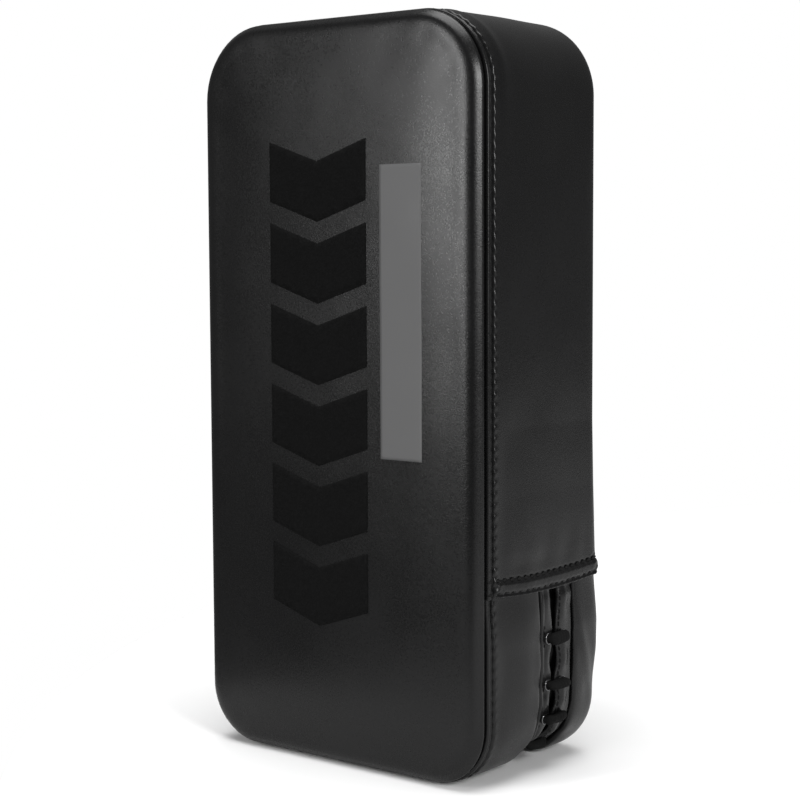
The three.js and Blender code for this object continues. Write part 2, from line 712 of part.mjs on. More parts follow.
// Lacing.
addPart("lacing_facing_front", lacingFacing(FACING_FRONT, EYELET_FRONT_Y), vinyl);
addPart("lacing_facing_back", lacingFacing(FACING_BACK, EYELET_BACK_Y), vinyl);
addPart("lacing_tongue", flatStrip(LAYER_ENDS[1] + 0.6, LAYER_ENDS[2] - 0.4, TONGUE_DEPTH, 1), liner);
addPart("closure_lace", closureLace(), webbing);
for (const [i, distance] of crossings.entries()) {
  const number = String(i + 1).padStart(2, "0");
  addPart(`eyelet_front_${number}`, placeAtCrossing(eyelet(), distance, EYELET_FRONT_Y), steel);
  addPart(`eyelet_back_${number}`, placeAtCrossing(eyelet(), distance, EYELET_BACK_Y), steel);
}

// Foam block, front to back.
addPart(
  "impact_foam",
  insetLoft([
    [FRONT_FACE + 1.9, 12],
    [FRONT_FACE + 2.3, 8.4],
    [FRONT_FACE + 3.6, 5.9],
    [FRONT_FACE + 4.8, 5.4],
    [LAYER_ENDS[0], 5.4],
  ]),
  foamGrey,
);
addPart(
  "foam_core_front",
  insetLoft([
    [LAYER_ENDS[0] + GAP, FOAM_INSET],
    [LAYER_ENDS[1], FOAM_INSET],
  ]),
  foamGrey,
);
addPart("foam_core_middle", pocketedFoam(LAYER_ENDS[1] + GAP, LAYER_ENDS[2]), foamGrey);
addPart(
  "foam_core_back",
  insetLoft([
    [LAYER_ENDS[2] + GAP, FOAM_INSET],
    [BACK_ROUND_Y + 0.6, FOAM_INSET],
    [BACK_ROUND_Y + 3.4, 5],
    [BACK_ROUND_Y + 4.6, 8],
    [BACK_FACE - 4, 10.5],
    [BACK_FACE - SKIN - 1 - 2 * GAP, 12.5],
  ]),
  foamGrey,
);

// Back: doubler sheet, forearm cushion and handle.
addPart("back_doubler", backDoubler(), liner);
addPart("forearm_cushion", forearmCushion(), vinyl);
addPart("handle_anchor_right", handleAnchor(1), vinyl);
addPart("handle_anchor_left", handleAnchor(-1), vinyl);
addPart("grip_leg_right", gripLeg(1), vinyl);
addPart("grip_leg_left", gripLeg(-1), vinyl);
addPart("grip_core", gripCore(), foamGrey);
addPart("grip_wrap", gripWrap(), vinyl);

// Forearm straps.
const patchWidth = STRAP_WIDTH - PATCH_INSET;
for (const [place, height] of Object.entries(STRAP_HEIGHTS)) {
  addPart(`${place}_forearm_strap`, ribbon(strapLine(), STRAP_THICKNESS, STRAP_WIDTH, height), vinyl);
  addPart(`${place}_ring_tab`, ringTab(height), vinyl);
  addPart(`${place}_strap_ring`, strapRing(height), steel);
  addPart(`${place}_loop_patch`, ribbon(archLine(LOOP_SPAN, 2, 14), 1, patchWidth, height), webbing);
  addPart(`${place}_hook_patch`, ribbon(archLine(HOOK_SPAN, 3.3, 10), 1, patchWidth, height), webbing);
  const tail = archLine(TAIL_SPAN, TAIL_OFFSET, 12);
  addPart(`${place}_strap_tail`, ribbon(tail, STRAP_THICKNESS, STRAP_WIDTH, height), vinyl);
}

export default shield;
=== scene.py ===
"""Kick shield: sewn cover, lacing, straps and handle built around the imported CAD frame."""
import math

import bmesh
import bpy
import numpy as np
from mathutils import Matrix, Vector, noise
from mathutils.bvhtree import BVHTree
from mathutils.geometry import delaunay_2d_cdt


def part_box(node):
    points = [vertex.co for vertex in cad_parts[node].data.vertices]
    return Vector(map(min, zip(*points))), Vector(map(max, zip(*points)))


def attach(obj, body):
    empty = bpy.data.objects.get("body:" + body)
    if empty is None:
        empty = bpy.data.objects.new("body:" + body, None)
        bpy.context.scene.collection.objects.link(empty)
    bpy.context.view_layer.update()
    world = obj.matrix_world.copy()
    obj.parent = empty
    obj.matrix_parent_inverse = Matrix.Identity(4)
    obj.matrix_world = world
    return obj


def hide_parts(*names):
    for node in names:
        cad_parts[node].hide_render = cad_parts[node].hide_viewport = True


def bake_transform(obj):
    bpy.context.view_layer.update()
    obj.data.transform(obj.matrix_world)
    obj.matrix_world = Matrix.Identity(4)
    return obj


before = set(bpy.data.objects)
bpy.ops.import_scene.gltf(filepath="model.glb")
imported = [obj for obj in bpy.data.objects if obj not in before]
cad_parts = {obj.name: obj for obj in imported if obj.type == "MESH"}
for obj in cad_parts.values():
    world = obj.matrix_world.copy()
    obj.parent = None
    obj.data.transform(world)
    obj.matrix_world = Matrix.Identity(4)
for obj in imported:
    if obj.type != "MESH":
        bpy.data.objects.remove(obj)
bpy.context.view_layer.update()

# The cover's own frame, in millimetres: x = 0 is the middle, y = 0 the front seam, z = 0 its lowest point.
MM = 0.001
RIM_INSET = 0.3
SEAM_LAP = 0.2
panel_low, panel_high = (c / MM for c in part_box("front_panel"))
SEAM_Y = panel_high.y - SEAM_LAP
BASE_Z = panel_low.z - RIM_INSET
WIDTH = panel_high.x - panel_low.x + 2 * RIM_INSET
HEIGHT = panel_high.z - panel_low.z + 2 * RIM_INSET
FRONT_FACE = panel_low.y - SEAM_Y
BACK_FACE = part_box("back_panel")[1].y / MM - SEAM_Y
TOP_RADIUS = 40
BOTTOM_RADIUS = 32
BULGE = 1.4

BOTTOM_FLAT = WIDTH / 2 - BOTTOM_RADIUS
BOTTOM_ARC = BOTTOM_FLAT + BOTTOM_RADIUS * math.pi / 2
SIDE_END = BOTTOM_ARC + HEIGHT - TOP_RADIUS - BOTTOM_RADIUS
TOP_ARC = SIDE_END + TOP_RADIUS * math.pi / 2
OUTLINE_HALF = TOP_ARC + WIDTH / 2 - TOP_RADIUS
OUTLINE = 2 * OUTLINE_HALF

HEM_EDGE = 97.6
HEM_ROWS = (2.6, 9.5)
HEM_PROUD = 1.6
HEM_PITCH = 101.8 / 19

FACING_SINK = (2.0, 5.8)
CROSSINGS_FROM_MIDDLE = [30, 60, 89, 108.5, 127, 152.3]
CAD_HEM = 98
EYELET_Y = (54.3, 67.4)

# How far the laced end swells out beyond the pad's outline, at heights above the ground.
FLARE_HEIGHTS = [12, 30, 45, 75, 98, 115, 150, 185]
FLARE_SWELL = [0, 1.8, 2.9, 3.5, 2.8, 2.0, 0.8, 0]

STITCH = OUTLINE / 196
SEAM_THREAD = 0.3
SEAM_SHARE = 0.86
SIM_FRAMES = 20
CORD_SIDES = 20
BRAID_TWIST = 1.3
BRAID_RELIEF = 0.09

UP = np.array([0.0, 0.0, 1.0])
TO_BACK = (0, 1, 0)
rng = np.random.default_rng(7)


def smooth(value):
    """Smoothstep of a value or an array, held between 0 and 1."""
    t = np.clip(value, 0, 1)
    return t * t * (3 - 2 * t)


def bump(value, centre, width):
    return np.exp(-(((value - centre) / width) ** 2))


def place(points):
    """Points in the cover's frame, in millimetres, as row-frame points in metres."""
    points = np.asarray(points, float)
    return (points + np.array([0, SEAM_Y, BASE_Z])) * MM


def spline(points, count):
    """Catmull-Rom curve through a few points, sampled evenly in its parameter."""
    p = np.asarray(points, float)
    p = np.vstack([2 * p[0] - p[1], p, 2 * p[-1] - p[-2]])
    t = np.linspace(0, len(points) - 1, count)
    i = np.minimum(t.astype(int), len(points) - 2)
    f = (t - i)[:, None]
    a, b, c, d = p[i], p[i + 1], p[i + 2], p[i + 3]
    return 0.5 * (2 * b + (c - a) * f + (2 * a - 5 * b + 4 * c - d) * f**2 + (3 * b - a - 3 * c + d) * f**3)


def outline(distance):
    """x, z and outward normal at distances along the pad's edge from the middle of the bottom."""
    turned = np.mod(distance, OUTLINE)
    side = np.where(turned > OUTLINE_HALF, -1.0, 1.0)
    along = np.where(turned > OUTLINE_HALF, OUTLINE - turned, turned)
    low = np.clip((along - BOTTOM_FLAT) / BOTTOM_RADIUS, 0, math.pi / 2) - math.pi / 2
    high = np.clip((along - SIDE_END) / TOP_RADIUS, 0, math.pi / 2)
    angle = low + high
    x = np.minimum(along, BOTTOM_FLAT) + BOTTOM_RADIUS * np.cos(low)
    x = x - TOP_RADIUS * (1 - np.cos(high)) - np.maximum(along - TOP_ARC, 0)
    z = BOTTOM_RADIUS * (1 + np.sin(low)) + np.clip(along - BOTTOM_ARC, 0, SIDE_END - BOTTOM_ARC)
    z = z + TOP_RADIUS * np.sin(high)
    return side * x, z, side * np.cos(angle), np.sin(angle)


def flare(distance, y):
    """Swell of the laced end beyond the pad's outline, drawn in again at its lower back edge."""
    height = np.minimum(distance % OUTLINE, OUTLINE - distance % OUTLINE) - side_distance(0)
    swell = np.interp(height, FLARE_HEIGHTS, FLARE_SWELL)
    drawn_in = 1 - 0.7 * smooth((y - 84) / 14) * smooth((62 - height) / 26)
    return swell * drawn_in * smooth((y - 7.5) / 28) * smooth((104.4 - y) / 3.4)


def cover(distance, y, offset):
    """Row-frame points on the cover at a distance, a depth and an offset outwards."""
    distance, y, offset = np.broadcast_arrays(distance, y, offset)
    x, z, nx, nz = outline(distance)
    offset = offset + flare(distance, y)
    return place(np.stack([x + nx * offset, y, z + nz * offset], -1))


def side_distance(height):
    return BOTTOM_ARC + height - BOTTOM_RADIUS


def sink(distance):
    """How far the lacing lies under the cover: shallow on the sides, deeper along the bottom."""
    to_bottom = (BOTTOM_ARC - np.abs(distance)) / (BOTTOM_ARC - BOTTOM_FLAT)
    return FACING_SINK[0] + (FACING_SINK[1] - FACING_SINK[0]) * smooth(to_bottom)


# Lace bars from the right side, along the bottom, to the left side.
CROSSING_AT = np.array(CROSSINGS_FROM_MIDDLE[::-1] + [0] + [-s for s in CROSSINGS_FROM_MIDDLE])


def ripple(points, size, seed):
    """Smooth noise between -1 and 1 at row-frame points, with waves of a given size in millimetres."""
    flat = np.asarray(points).reshape(-1, 3) / (size * MM)
    shift = Vector((seed * 7.3, seed * 3.1, seed * 5.7))
    values = [noise.noise(Vector(p) + shift) for p in flat]
    return np.array(values).reshape(np.asarray(points).shape[:-1])

# Mesh helpers


def make(name, vertices, faces, material, body="pad"):
    """A smooth-shaded mesh piece from row-frame points."""
    mesh = bpy.data.meshes.new(name)
    mesh.from_pydata([tuple(v) for v in np.asarray(vertices).reshape(-1, 3)], [], [tuple(f) for f in faces])
    mesh.materials.append(material)
    mesh.shade_smooth()
    piece = bpy.data.objects.new(name, mesh)
    bpy.context.scene.collection.objects.link(piece)
    face_out(piece)
    if body:
        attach(piece, body)
    return piece


def face_out(piece):
    mesh = bmesh.new()
    mesh.from_mesh(piece.data)
    bmesh.ops.remove_doubles(mesh, verts=mesh.verts, dist=1e-7)
    bmesh.ops.recalc_face_normals(mesh, faces=mesh.faces)
    mesh.to_mesh(piece.data)
    mesh.free()


def grid_faces(rows, columns, wrap_rows=False, wrap_columns=False, first=0):
    faces = []
    for i in range(rows if wrap_rows else rows - 1):
        for j in range(columns if wrap_columns else columns - 1):
            i2, j2 = (i + 1) % rows, (j + 1) % columns
            faces.append((first + i * columns + j, first + i2 * columns + j,
                          first + i2 * columns + j2, first + i * columns + j2))
    return faces


def capped_faces(rows, columns, first=0):
    """Faces of a tube of points, with one face over each end."""
    last = first + (rows - 1) * columns
    faces = grid_faces(rows, columns, wrap_columns=True, first=first)
    faces.append(tuple(range(first, first + columns)))
    faces.append(tuple(range(last + columns - 1, last - 1, -1)))
    return faces


def unit(vectors):
    return vectors / np.linalg.norm(vectors, axis=-1, keepdims=True)


def run_of(line):
    """Distance along a line at each of its points."""
    return np.concatenate([[0], np.cumsum(np.linalg.norm(np.diff(line, axis=0), axis=1))])


def at_run(where, run, values):
    """Values that are given at a line's points, read at other distances along it."""
    return np.stack([np.interp(where, run, column) for column in values.T], -1)


def resample(line, step):
    """Points at equal steps, in millimetres, along a row-frame line."""
    run = run_of(line)
    count = max(2, int(round(run[-1] / (step * MM))) + 1)
    return at_run(np.linspace(0, run[-1], count), run, line)


def add_thickness(piece, thickness):
    solid = piece.modifiers.new("Thickness", "SOLIDIFY")
    solid.thickness = thickness * MM
    solid.offset = -1
    solid.use_quality_normals = True


def skin(name, points, look, thickness):
    """A grid of points as sheet material of a given thickness, in millimetres, under its surface."""
    piece = make(name, points, grid_faces(*points.shape[:2]), look)
    add_thickness(piece, thickness)
    return piece


def face_towards(piece, side):
    """Turns an open skin over unless it faces its side of the pad: 1 for the back, -1 for the front."""
    if side * np.mean([p.normal.y for p in piece.data.polygons]) < 0:
        piece.data.flip_normals()


def band(name, line, half_width, section, look, body, across=UP):
    """A strap: a section of (share of half width, height in millimetres) swept along its middle line.

    The line is in row-frame metres, and across is the unit vector of the strap's width."""
    normal = np.cross(unit(np.gradient(line, axis=0)), across)
    ring = (line[:, None, :] + across * (section[None, :, 0] * half_width * MM)[..., None]
            + normal[:, None, :] * (section[None, :, 1] * MM)[..., None])
    return make(name, ring, capped_faces(*ring.shape[:2]), look, body)


def strap_section(thickness, puff=0.25):
    """Closed strap section: rounded edges, a dip under each edge seam and a soft crown between."""
    half = thickness / 2
    shares = [np.linspace(-0.97, -0.7, 7), np.linspace(-0.6, 0.6, 9), np.linspace(0.7, 0.97, 7)]
    top, bottom = [], []
    for share in np.concatenate(shares):
        to_edge = smooth((abs(share) - 0.93) / 0.04)
        dip = 0.3 * bump(abs(share), SEAM_SHARE, 0.035)
        crown = max(0, puff * (1 - (share / SEAM_SHARE) ** 2))
        top.append((share, half - dip + crown - 0.35 * half * to_edge))
        bottom.append((-share, -half + 0.3 * half * to_edge))
    edge = [(0.995, 0.35 * half), (1.0, 0), (0.995, -0.35 * half)]
    return np.array(top + edge + bottom + [(-share, -level) for share, level in edge])


def cord(name, line, radius_along, radius_across, look):
    """A braided cord through row-frame points, with an oval section."""
    along = unit(np.gradient(line, axis=0))
    guide = np.array([1.0, 0.0, 0.0])
    guides = []
    for direction in along:
        guide = unit(guide - direction * guide.dot(direction))
        guides.append(guide)
    first = np.array(guides)
    second = np.cross(along, first)
    angle = np.linspace(0, 2 * math.pi, CORD_SIDES, endpoint=False)[None, :]
    phase = (run_of(line) / MM)[:, None] * BRAID_TWIST
    relief = 1 + BRAID_RELIEF * np.cos(3 * angle + phase) * np.cos(3 * angle - phase)
    a = (radius_along[:, None] * relief * np.cos(angle) * MM)[..., None]
    b = (radius_across[:, None] * relief * np.sin(angle) * MM)[..., None]
    ring = line[:, None, :] + a * first[:, None, :] + b * second[:, None, :]
    return make(name, ring, capped_faces(len(line), CORD_SIDES), look)


def stitches(name, lines, normals, pitch=STITCH, radius=SEAM_THREAD, share=0.74, slant=0.0, lift=0.1,
             body="pad"):
    """Separate thread stitches along lines that lie on a surface; normals are given per line point."""
    vertices, faces = [], []
    for line, normal in zip(lines, normals):
        normal = np.broadcast_to(np.asarray(normal, float), line.shape)
        run = run_of(line) / MM
        count = max(1, int(run[-1] / pitch))
        for i in range(count):
            middle = (i + 0.5) * run[-1] / count
            centre = at_run(middle, run, line)
            along = unit(at_run(middle + 0.4, run, line) - centre)
            up = unit(at_run(middle, run, normal))
            turned = slant + rng.normal(0, 0.03)
            direction = along * math.cos(turned) + np.cross(up, along) * math.sin(turned)
            sideways = np.cross(up, direction)
            half = pitch * share / 2
            first = len(vertices)
            for t, size in ((-1.0, 0.25), (-0.72, 0.9), (0.0, 1.0), (0.72, 0.9), (1.0, 0.25)):
                drop = lift + radius * 0.6 - 1.5 * radius * abs(t) ** 3
                spot = centre + direction * half * t * MM + up * drop * MM
                for k in range(6):
                    angle = k * math.pi / 3
                    arm = sideways * math.cos(angle) + up * math.sin(angle)
                    vertices.append(spot + arm * (size * radius) * MM)
            faces += capped_faces(5, 6, first)
    return make(name, vertices, faces, THREAD_BLACK, body)


def inflate(piece, pressure, swell, is_pinned):
    """Cloth simulation of a skin under pressure from its filling, held along its seams."""
    rest = np.array([v.co for v in piece.data.vertices])
    pins = piece.vertex_groups.new(name="seams")
    pins.add([int(i) for i in np.flatnonzero(is_pinned)], 1.0, "REPLACE")
    cloth = piece.modifiers.new("Cloth", "CLOTH")
    values = dict(use_pressure=True, uniform_pressure_force=pressure, vertex_group_mass=pins.name, quality=4,
                  mass=0.3, tension_stiffness=25, compression_stiffness=25, shear_stiffness=10,
                  bending_stiffness=2)
    for key, value in values.items():
        setattr(cloth.settings, key, value)
    cloth.settings.effector_weights.gravity = 0
    cloth.point_cache.frame_start = 1
    cloth.point_cache.frame_end = SIM_FRAMES
    scene = bpy.context.scene
    for number in range(1, SIM_FRAMES + 1):
        scene.frame_set(number)
    evaluated = piece.evaluated_get(bpy.context.evaluated_depsgraph_get())
    moved = np.array([v.co for v in evaluated.data.vertices]) - rest
    piece.modifiers.remove(cloth)
    scene.frame_set(1)
    moved *= swell * MM / max(np.linalg.norm(moved, axis=1).max(), swell * MM)
    piece.data.vertices.foreach_set("co", (rest + moved).ravel())
    piece.data.update()


# Materials


def new_look(name):
    """A new material with its Principled shader and its object coordinates."""
    made = bpy.data.materials.new(name)
    made.use_nodes = True
    nodes = made.node_tree.nodes
    return made, nodes["Principled BSDF"], nodes.new("ShaderNodeTexCoord").outputs["Object"]


def node(tree, kind, links=None, **values):
    """A node with its input values set by name and its inputs linked from sockets."""
    made = tree.nodes.new(kind)
    for key, value in values.items():
        if key in made.inputs:
            made.inputs[key].default_value = value
        else:
            setattr(made, key, value)
    for key, socket in (links or {}).items():
        tree.links.new(socket, made.inputs[key])
    return made


def clouds(where, scale, detail=2.0, roughness=0.5):
    """Soft noise."""
    made = node(where.id_data, "ShaderNodeTexNoise", {"Vector": where}, Scale=scale, Detail=detail,
                Roughness=roughness)
    return made.outputs["Fac"]


def cells(where, scale, **values):
    """Distance to the middle of the nearest cell, or to its edge."""
    made = node(where.id_data, "ShaderNodeTexVoronoi", {"Vector": where}, Scale=scale, **values)
    return made.outputs["Distance"]


def ramp(socket, low, high, low_value=0.0, high_value=1.0):
    """Maps a value from one range to another."""
    ends = {"From Min": low, "From Max": high, "To Min": low_value, "To Max": high_value}
    return node(socket.id_data, "ShaderNodeMapRange", {"Value": socket}, **ends).outputs["Result"]


def combined(first, second, operation):
    made = node(first.id_data, "ShaderNodeMath", {0: first, 1: second}, operation=operation)
    return made.outputs["Value"]


def paint(shader, factor, first, second):
    """Base colour, mixed from two by a factor."""
    tree = shader.id_data
    made = tree.nodes.new("ShaderNodeMix")
    made.data_type = "RGBA"
    tree.links.new(factor, made.inputs["Factor"])
    made.inputs["A"].default_value = (*first, 1)
    made.inputs["B"].default_value = (*second, 1)
    tree.links.new(made.outputs["Result"], shader.inputs["Base Color"])


def gloss(shader, socket, low, high, low_roughness, high_roughness):
    """Roughness that follows a value."""
    roughness = ramp(socket, low, high, low_roughness, high_roughness)
    shader.id_data.links.new(roughness, shader.inputs["Roughness"])


def bumps(shader, *heights):
    """Chains bump nodes: each height is (socket, distance in mm, strength)."""
    tree = shader.id_data
    normal = None
    for socket, distance, strength in heights:
        made = node(tree, "ShaderNodeBump", {"Height": socket}, Distance=distance * MM, Strength=strength)
        if normal:
            tree.links.new(normal, made.inputs["Normal"])
        normal = made.outputs["Normal"]
    tree.links.new(normal, shader.inputs["Normal"])


def vinyl_material(name, base, worn, roughness):
    """Synthetic leather: pebbled grain, fine pores, soft scuffs and uneven sheen."""
    made, shader, where = new_look(name)
    warp = node(made.node_tree, "ShaderNodeTexNoise", {"Vector": where}, Scale=260.0, Detail=2.0)
    shift = node(made.node_tree, "ShaderNodeMixRGB", {"Color1": where, "Color2": warp.outputs["Color"]})
    shift.inputs["Fac"].default_value = 0.0012
    pebbles = ramp(cells(shift.outputs["Color"], 1150.0, feature="DISTANCE_TO_EDGE"), 0.0, 0.2)
    pores = clouds(where, 1000.0)
    scuffs = clouds(where, 9.0, 4.0, 0.6)
    bumps(shader, (clouds(where, 22.0, 3.0, 0.55), 0.4, 0.2), (pebbles, 0.032, 0.42), (pores, 0.09, 0.42))
    paint(shader, ramp(scuffs, 0.35, 0.7), base, worn)
    gloss(shader, combined(scuffs, pores, "ADD"), 0.75, 1.3, roughness - 0.05, roughness + 0.07)
    shader.inputs["Specular IOR Level"].default_value = 0.27
    shader.inputs["Coat Weight"].default_value = 0.06
    shader.inputs["Coat Roughness"].default_value = 0.25
    return made


def weave_material(name, base, light, scale, roughness, sheen, relief):
    """Woven or braided thread: crossed waves, fibre noise and a little sheen."""
    made, shader, where = new_look(name)
    waves = []
    for size, direction in ((scale, "DIAGONAL"), (scale * 0.9, "Z")):
        wave = node(made.node_tree, "ShaderNodeTexWave", {"Vector": where}, Scale=size, Distortion=0.6,
                    bands_direction=direction)
        waves.append(wave.outputs["Fac"])
    fibres = clouds(where, 3000.0)
    paint(shader, fibres, base, light)
    bumps(shader, (combined(*waves, "MULTIPLY"), 0.15, relief), (fibres, 0.06, relief))
    gloss(shader, fibres, 0.3, 0.7, roughness - 0.06, roughness + 0.06)
    shader.inputs["Sheen Weight"].default_value = sheen
    shader.inputs["Sheen Roughness"].default_value = 0.5
    return made


def pile_material(name, base, light, scale, sheen):
    """Short fibre pile, for flock print and loop tape."""
    made, shader, where = new_look(name)
    fibres = clouds(where, scale, 3.0, 0.75)
    paint(shader, ramp(fibres, 0.42, 0.66), base, light)
    bumps(shader, (cells(where, scale * 0.8), 0.25, 0.7), (fibres, 0.3, 0.9))
    gloss(shader, fibres, 0.3, 0.7, 0.86, 0.98)
    shader.inputs["Specular IOR Level"].default_value = 0.18
    shader.inputs["Sheen Weight"].default_value = sheen
    shader.inputs["Sheen Roughness"].default_value = 0.55
    return made


def hook_material():
    """Hook tape: rows of small stiff hooks on a woven backing, with painted highlight on the hook tops and
    painted shade between them.
    """
    made, shader, where = new_look("hook_tape")
    tops = ramp(cells(where, 620.0, Randomness=0.15), 0.15, 0.4, 1.0, 0.0)
    # Painted highlight and shade: colour lighter on the raised hook tops and darker in the gaps between them.
    paint(shader, tops, (0.006, 0.006, 0.006), (0.035, 0.035, 0.036))
    bumps(shader, (tops, 0.5, 0.8))
    gloss(shader, tops, 0.0, 1.0, 0.8, 0.45)
    return made


def ink_material():
    """Screen-printed grey ink: even, slightly satin, broken by the grain beneath it."""
    made, shader, where = new_look("grey_ink")
    blotches = clouds(where, 45.0, 3.0)
    paint(shader, blotches, (0.086, 0.086, 0.087), (0.099, 0.099, 0.1))
    bumps(shader, (cells(where, 1050.0), 0.03, 0.2))
    gloss(shader, blotches, 0.3, 0.7, 0.52, 0.62)
    shader.inputs["Specular IOR Level"].default_value = 0.3
    return made


def steel_material(name, dark, light):
    """Plated steel with fine drawn scratches."""
    made, shader, where = new_look(name)
    stretched = node(made.node_tree, "ShaderNodeMapping", {"Vector": where}, Scale=(1, 1, 14))
    scratches = clouds(stretched.outputs["Vector"], 420.0, 4.0)
    paint(shader, clouds(where, 60.0, 3.0), dark, light)
    bumps(shader, (scratches, 0.02, 0.25))
    gloss(shader, scratches, 0.3, 0.7, 0.16, 0.34)
    shader.inputs["Metallic"].default_value = 1.0
    return made


def foam_material(name, dark, light):
    """Closed-cell foam: small round cells, with painted shade in their pits."""
    made, shader, where = new_look(name)
    pits = cells(where, 900.0)
    # Painted shade: colour darker in the middle of each cell, where the bump sinks, and lighter at the cell
    # rims.
    paint(shader, pits, dark, light)
    bumps(shader, (pits, 0.3, 0.5))
    gloss(shader, pits, 0.0, 0.8, 0.85, 0.97)
    return made


VINYL = vinyl_material("cover_vinyl", (0.0025, 0.0025, 0.0026), (0.004, 0.004, 0.0042), 0.28)
STRAP_VINYL = vinyl_material("strap_vinyl", (0.004, 0.004, 0.0042), (0.0065, 0.0065, 0.0068), 0.38)
THREAD_BLACK = weave_material("thread", (0.003, 0.003, 0.003), (0.009, 0.009, 0.009), 900.0, 0.62, 0.0, 0.5)
CORD_BLACK = weave_material("lace_cord", (0.002, 0.002, 0.002), (0.006, 0.006, 0.006), 700.0, 0.85, 0.0, 0.6)
LINER = weave_material("liner_cloth", (0.006, 0.006, 0.006), (0.014, 0.014, 0.014), 800.0, 0.85, 0.1, 0.6)
FLOCK = pile_material("flock_print", (0.0006, 0.0006, 0.0006), (0.005, 0.005, 0.0051), 1300.0, 0.0)
LOOP = pile_material("loop_tape", (0.005, 0.005, 0.005), (0.025, 0.025, 0.026), 1700.0, 0.3)
HOOK = hook_material()
INK = ink_material()
STEEL = steel_material("nickel_plate", (0.5, 0.5, 0.5), (0.68, 0.68, 0.69))
DARK_STEEL = steel_material("eyelet_plate", (0.08, 0.08, 0.08), (0.2, 0.2, 0.205))
FOAM = foam_material("foam", (0.06, 0.06, 0.065), (0.12, 0.12, 0.125))
GRIP_FOAM = foam_material("grip_foam", (0.008, 0.008, 0.008), (0.02, 0.02, 0.02))
for soft_look in (CORD_BLACK, THREAD_BLACK, FLOCK):
    soft_look.node_tree.nodes["Principled BSDF"].inputs["Specular IOR Level"].default_value = 0.12



# Padded panels


def inset_ring(inset, count):
    """Cover-frame x and z of a ring inside the outline, its points spread evenly along the outline."""
    s = np.linspace(0, OUTLINE, count, endpoint=False)
    x, z, nx, nz = outline(s)
    return np.stack([x - nx * inset, z - nz * inset], -1)


def triangulated(points, count):
    """Points in x and z, and the triangles between them inside the loop that the first count make."""
    made = delaunay_2d_cdt(points, [], [list(range(count))], 1, 1e-6)
    return np.array([tuple(p) for p in made[0]]), [tuple(f) for f in made[2]]


def filled(ring, spacing):
    """Points and triangles that fill a convex ring with an even lattice."""
    low, high = ring.min(0), ring.max(0)
    points = [Vector(p) for p in ring]
    edge = np.roll(ring, -1, 0) - ring
    length = np.linalg.norm(edge, axis=1)
    z, shift = low[1] + spacing / 2, 0
    while z < high[1]:
        for x in np.arange(low[0] + shift, high[0], spacing):
            arm = np.array([x, z]) - ring
            depth = (edge[:, 0] * arm[:, 1] - edge[:, 1] * arm[:, 0]) / length
            if depth.min() > spacing * 0.45:
                points.append(Vector((x, z)))
        z += spacing * 0.866
        shift = spacing / 2 - shift
    return triangulated(points, len(ring))


def gap_to(ring, points):
    """Distance from each point to the nearest point of a ring, in x and z."""
    return np.array([np.linalg.norm(ring - p, axis=1).min() for p in points])


def padded_panel(profile, face_y, spacing, crown, seed):
    """A panel with rolled edges: rings along its profile, then an even lattice over its face."""
    count = int(OUTLINE / spacing)
    rings = [np.insert(inset_ring(inset, count), 1, y, axis=1) for y, inset in profile]
    inner, triangles = filled(rings[-1][:, [0, 2]], spacing)
    first = (len(rings) - 1) * count
    vertices = np.vstack([*rings[:-1], np.insert(inner, 1, face_y, axis=1)])
    faces = grid_faces(len(rings) - 1, count, wrap_columns=True)
    last_ring = [first + int(np.linalg.norm(inner - p[[0, 2]], axis=1).argmin()) for p in rings[-1]]
    for j in range(count):
        k = (j + 1) % count
        faces.append((first - count + j, last_ring[j], last_ring[k], first - count + k))
    faces += [tuple(first + i for i in f) for f in triangles]
    placed = place(vertices)
    gap = edge_gap(vertices[:, 0], vertices[:, 2])
    on_face = smooth((gap - 9) / 6) * (np.abs(vertices[:, 1] - face_y) < 2)
    lumps = ripple(placed, 55, seed) * 0.35 + ripple(placed, 22, seed + 3) * 0.1
    fall = 0.95 - 2.2 * np.clip(1 - gap / 45, 0, 1) ** 2
    placed[:, 1] += np.sign(face_y) * (lumps + fall * (gap > 15)) * crown * on_face * MM
    return placed, faces


def edge_gap(x, z):
    """Distance inwards from the pad's outline."""
    corner = (TOP_RADIUS + BOTTOM_RADIUS) / 2
    across = np.abs(x) - (WIDTH / 2 - corner)
    upward = np.abs(z - HEIGHT / 2) - (HEIGHT / 2 - corner)
    outer = np.hypot(np.maximum(across, 0), np.maximum(upward, 0))
    return corner - outer - np.minimum(np.maximum(across, upward), 0)


def front_panel():
    edge = spline([(1.8, 4.6), (1.2, 3.0), (0.7, 1.5), (0.0, 0.4), (-0.9, -0.05), (-1.9, 0.25),
                   (-3.0, 1.1), (-4.1, 2.05), (-5.2, 3.3), (-6.05, 5.0), (-6.6, 7.2), (-6.86, 10.2),
                   (FRONT_FACE, 14.5)], 44)
    placed, faces = padded_panel(edge, FRONT_FACE, 4.6, 1.0, 2)
    piece = make("front_panel_pad", placed, faces, VINYL)
    y = np.array([v.co.y for v in piece.data.vertices]) / MM - SEAM_Y
    inflate(piece, 1.6, 0.7, y > -5.6)
    add_thickness(piece, 1.2)
    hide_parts("front_panel")
    return piece


def back_panel():
    edge = spline([(101.5, 8.5), (103.6, 7.6), (104.7, 6.6), (105.6, 5.4), (106.6, 5.5), (107.3, 7.2),
                   (107.8, 10.0), (BACK_FACE, 14.0)], 20)
    placed, faces = padded_panel(edge, BACK_FACE, 5.0, -0.5, 9)
    piece = make("back_panel_pad", placed, faces, VINYL)
    add_thickness(piece, 1.2)
    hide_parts("back_panel")


# Gusset and closure

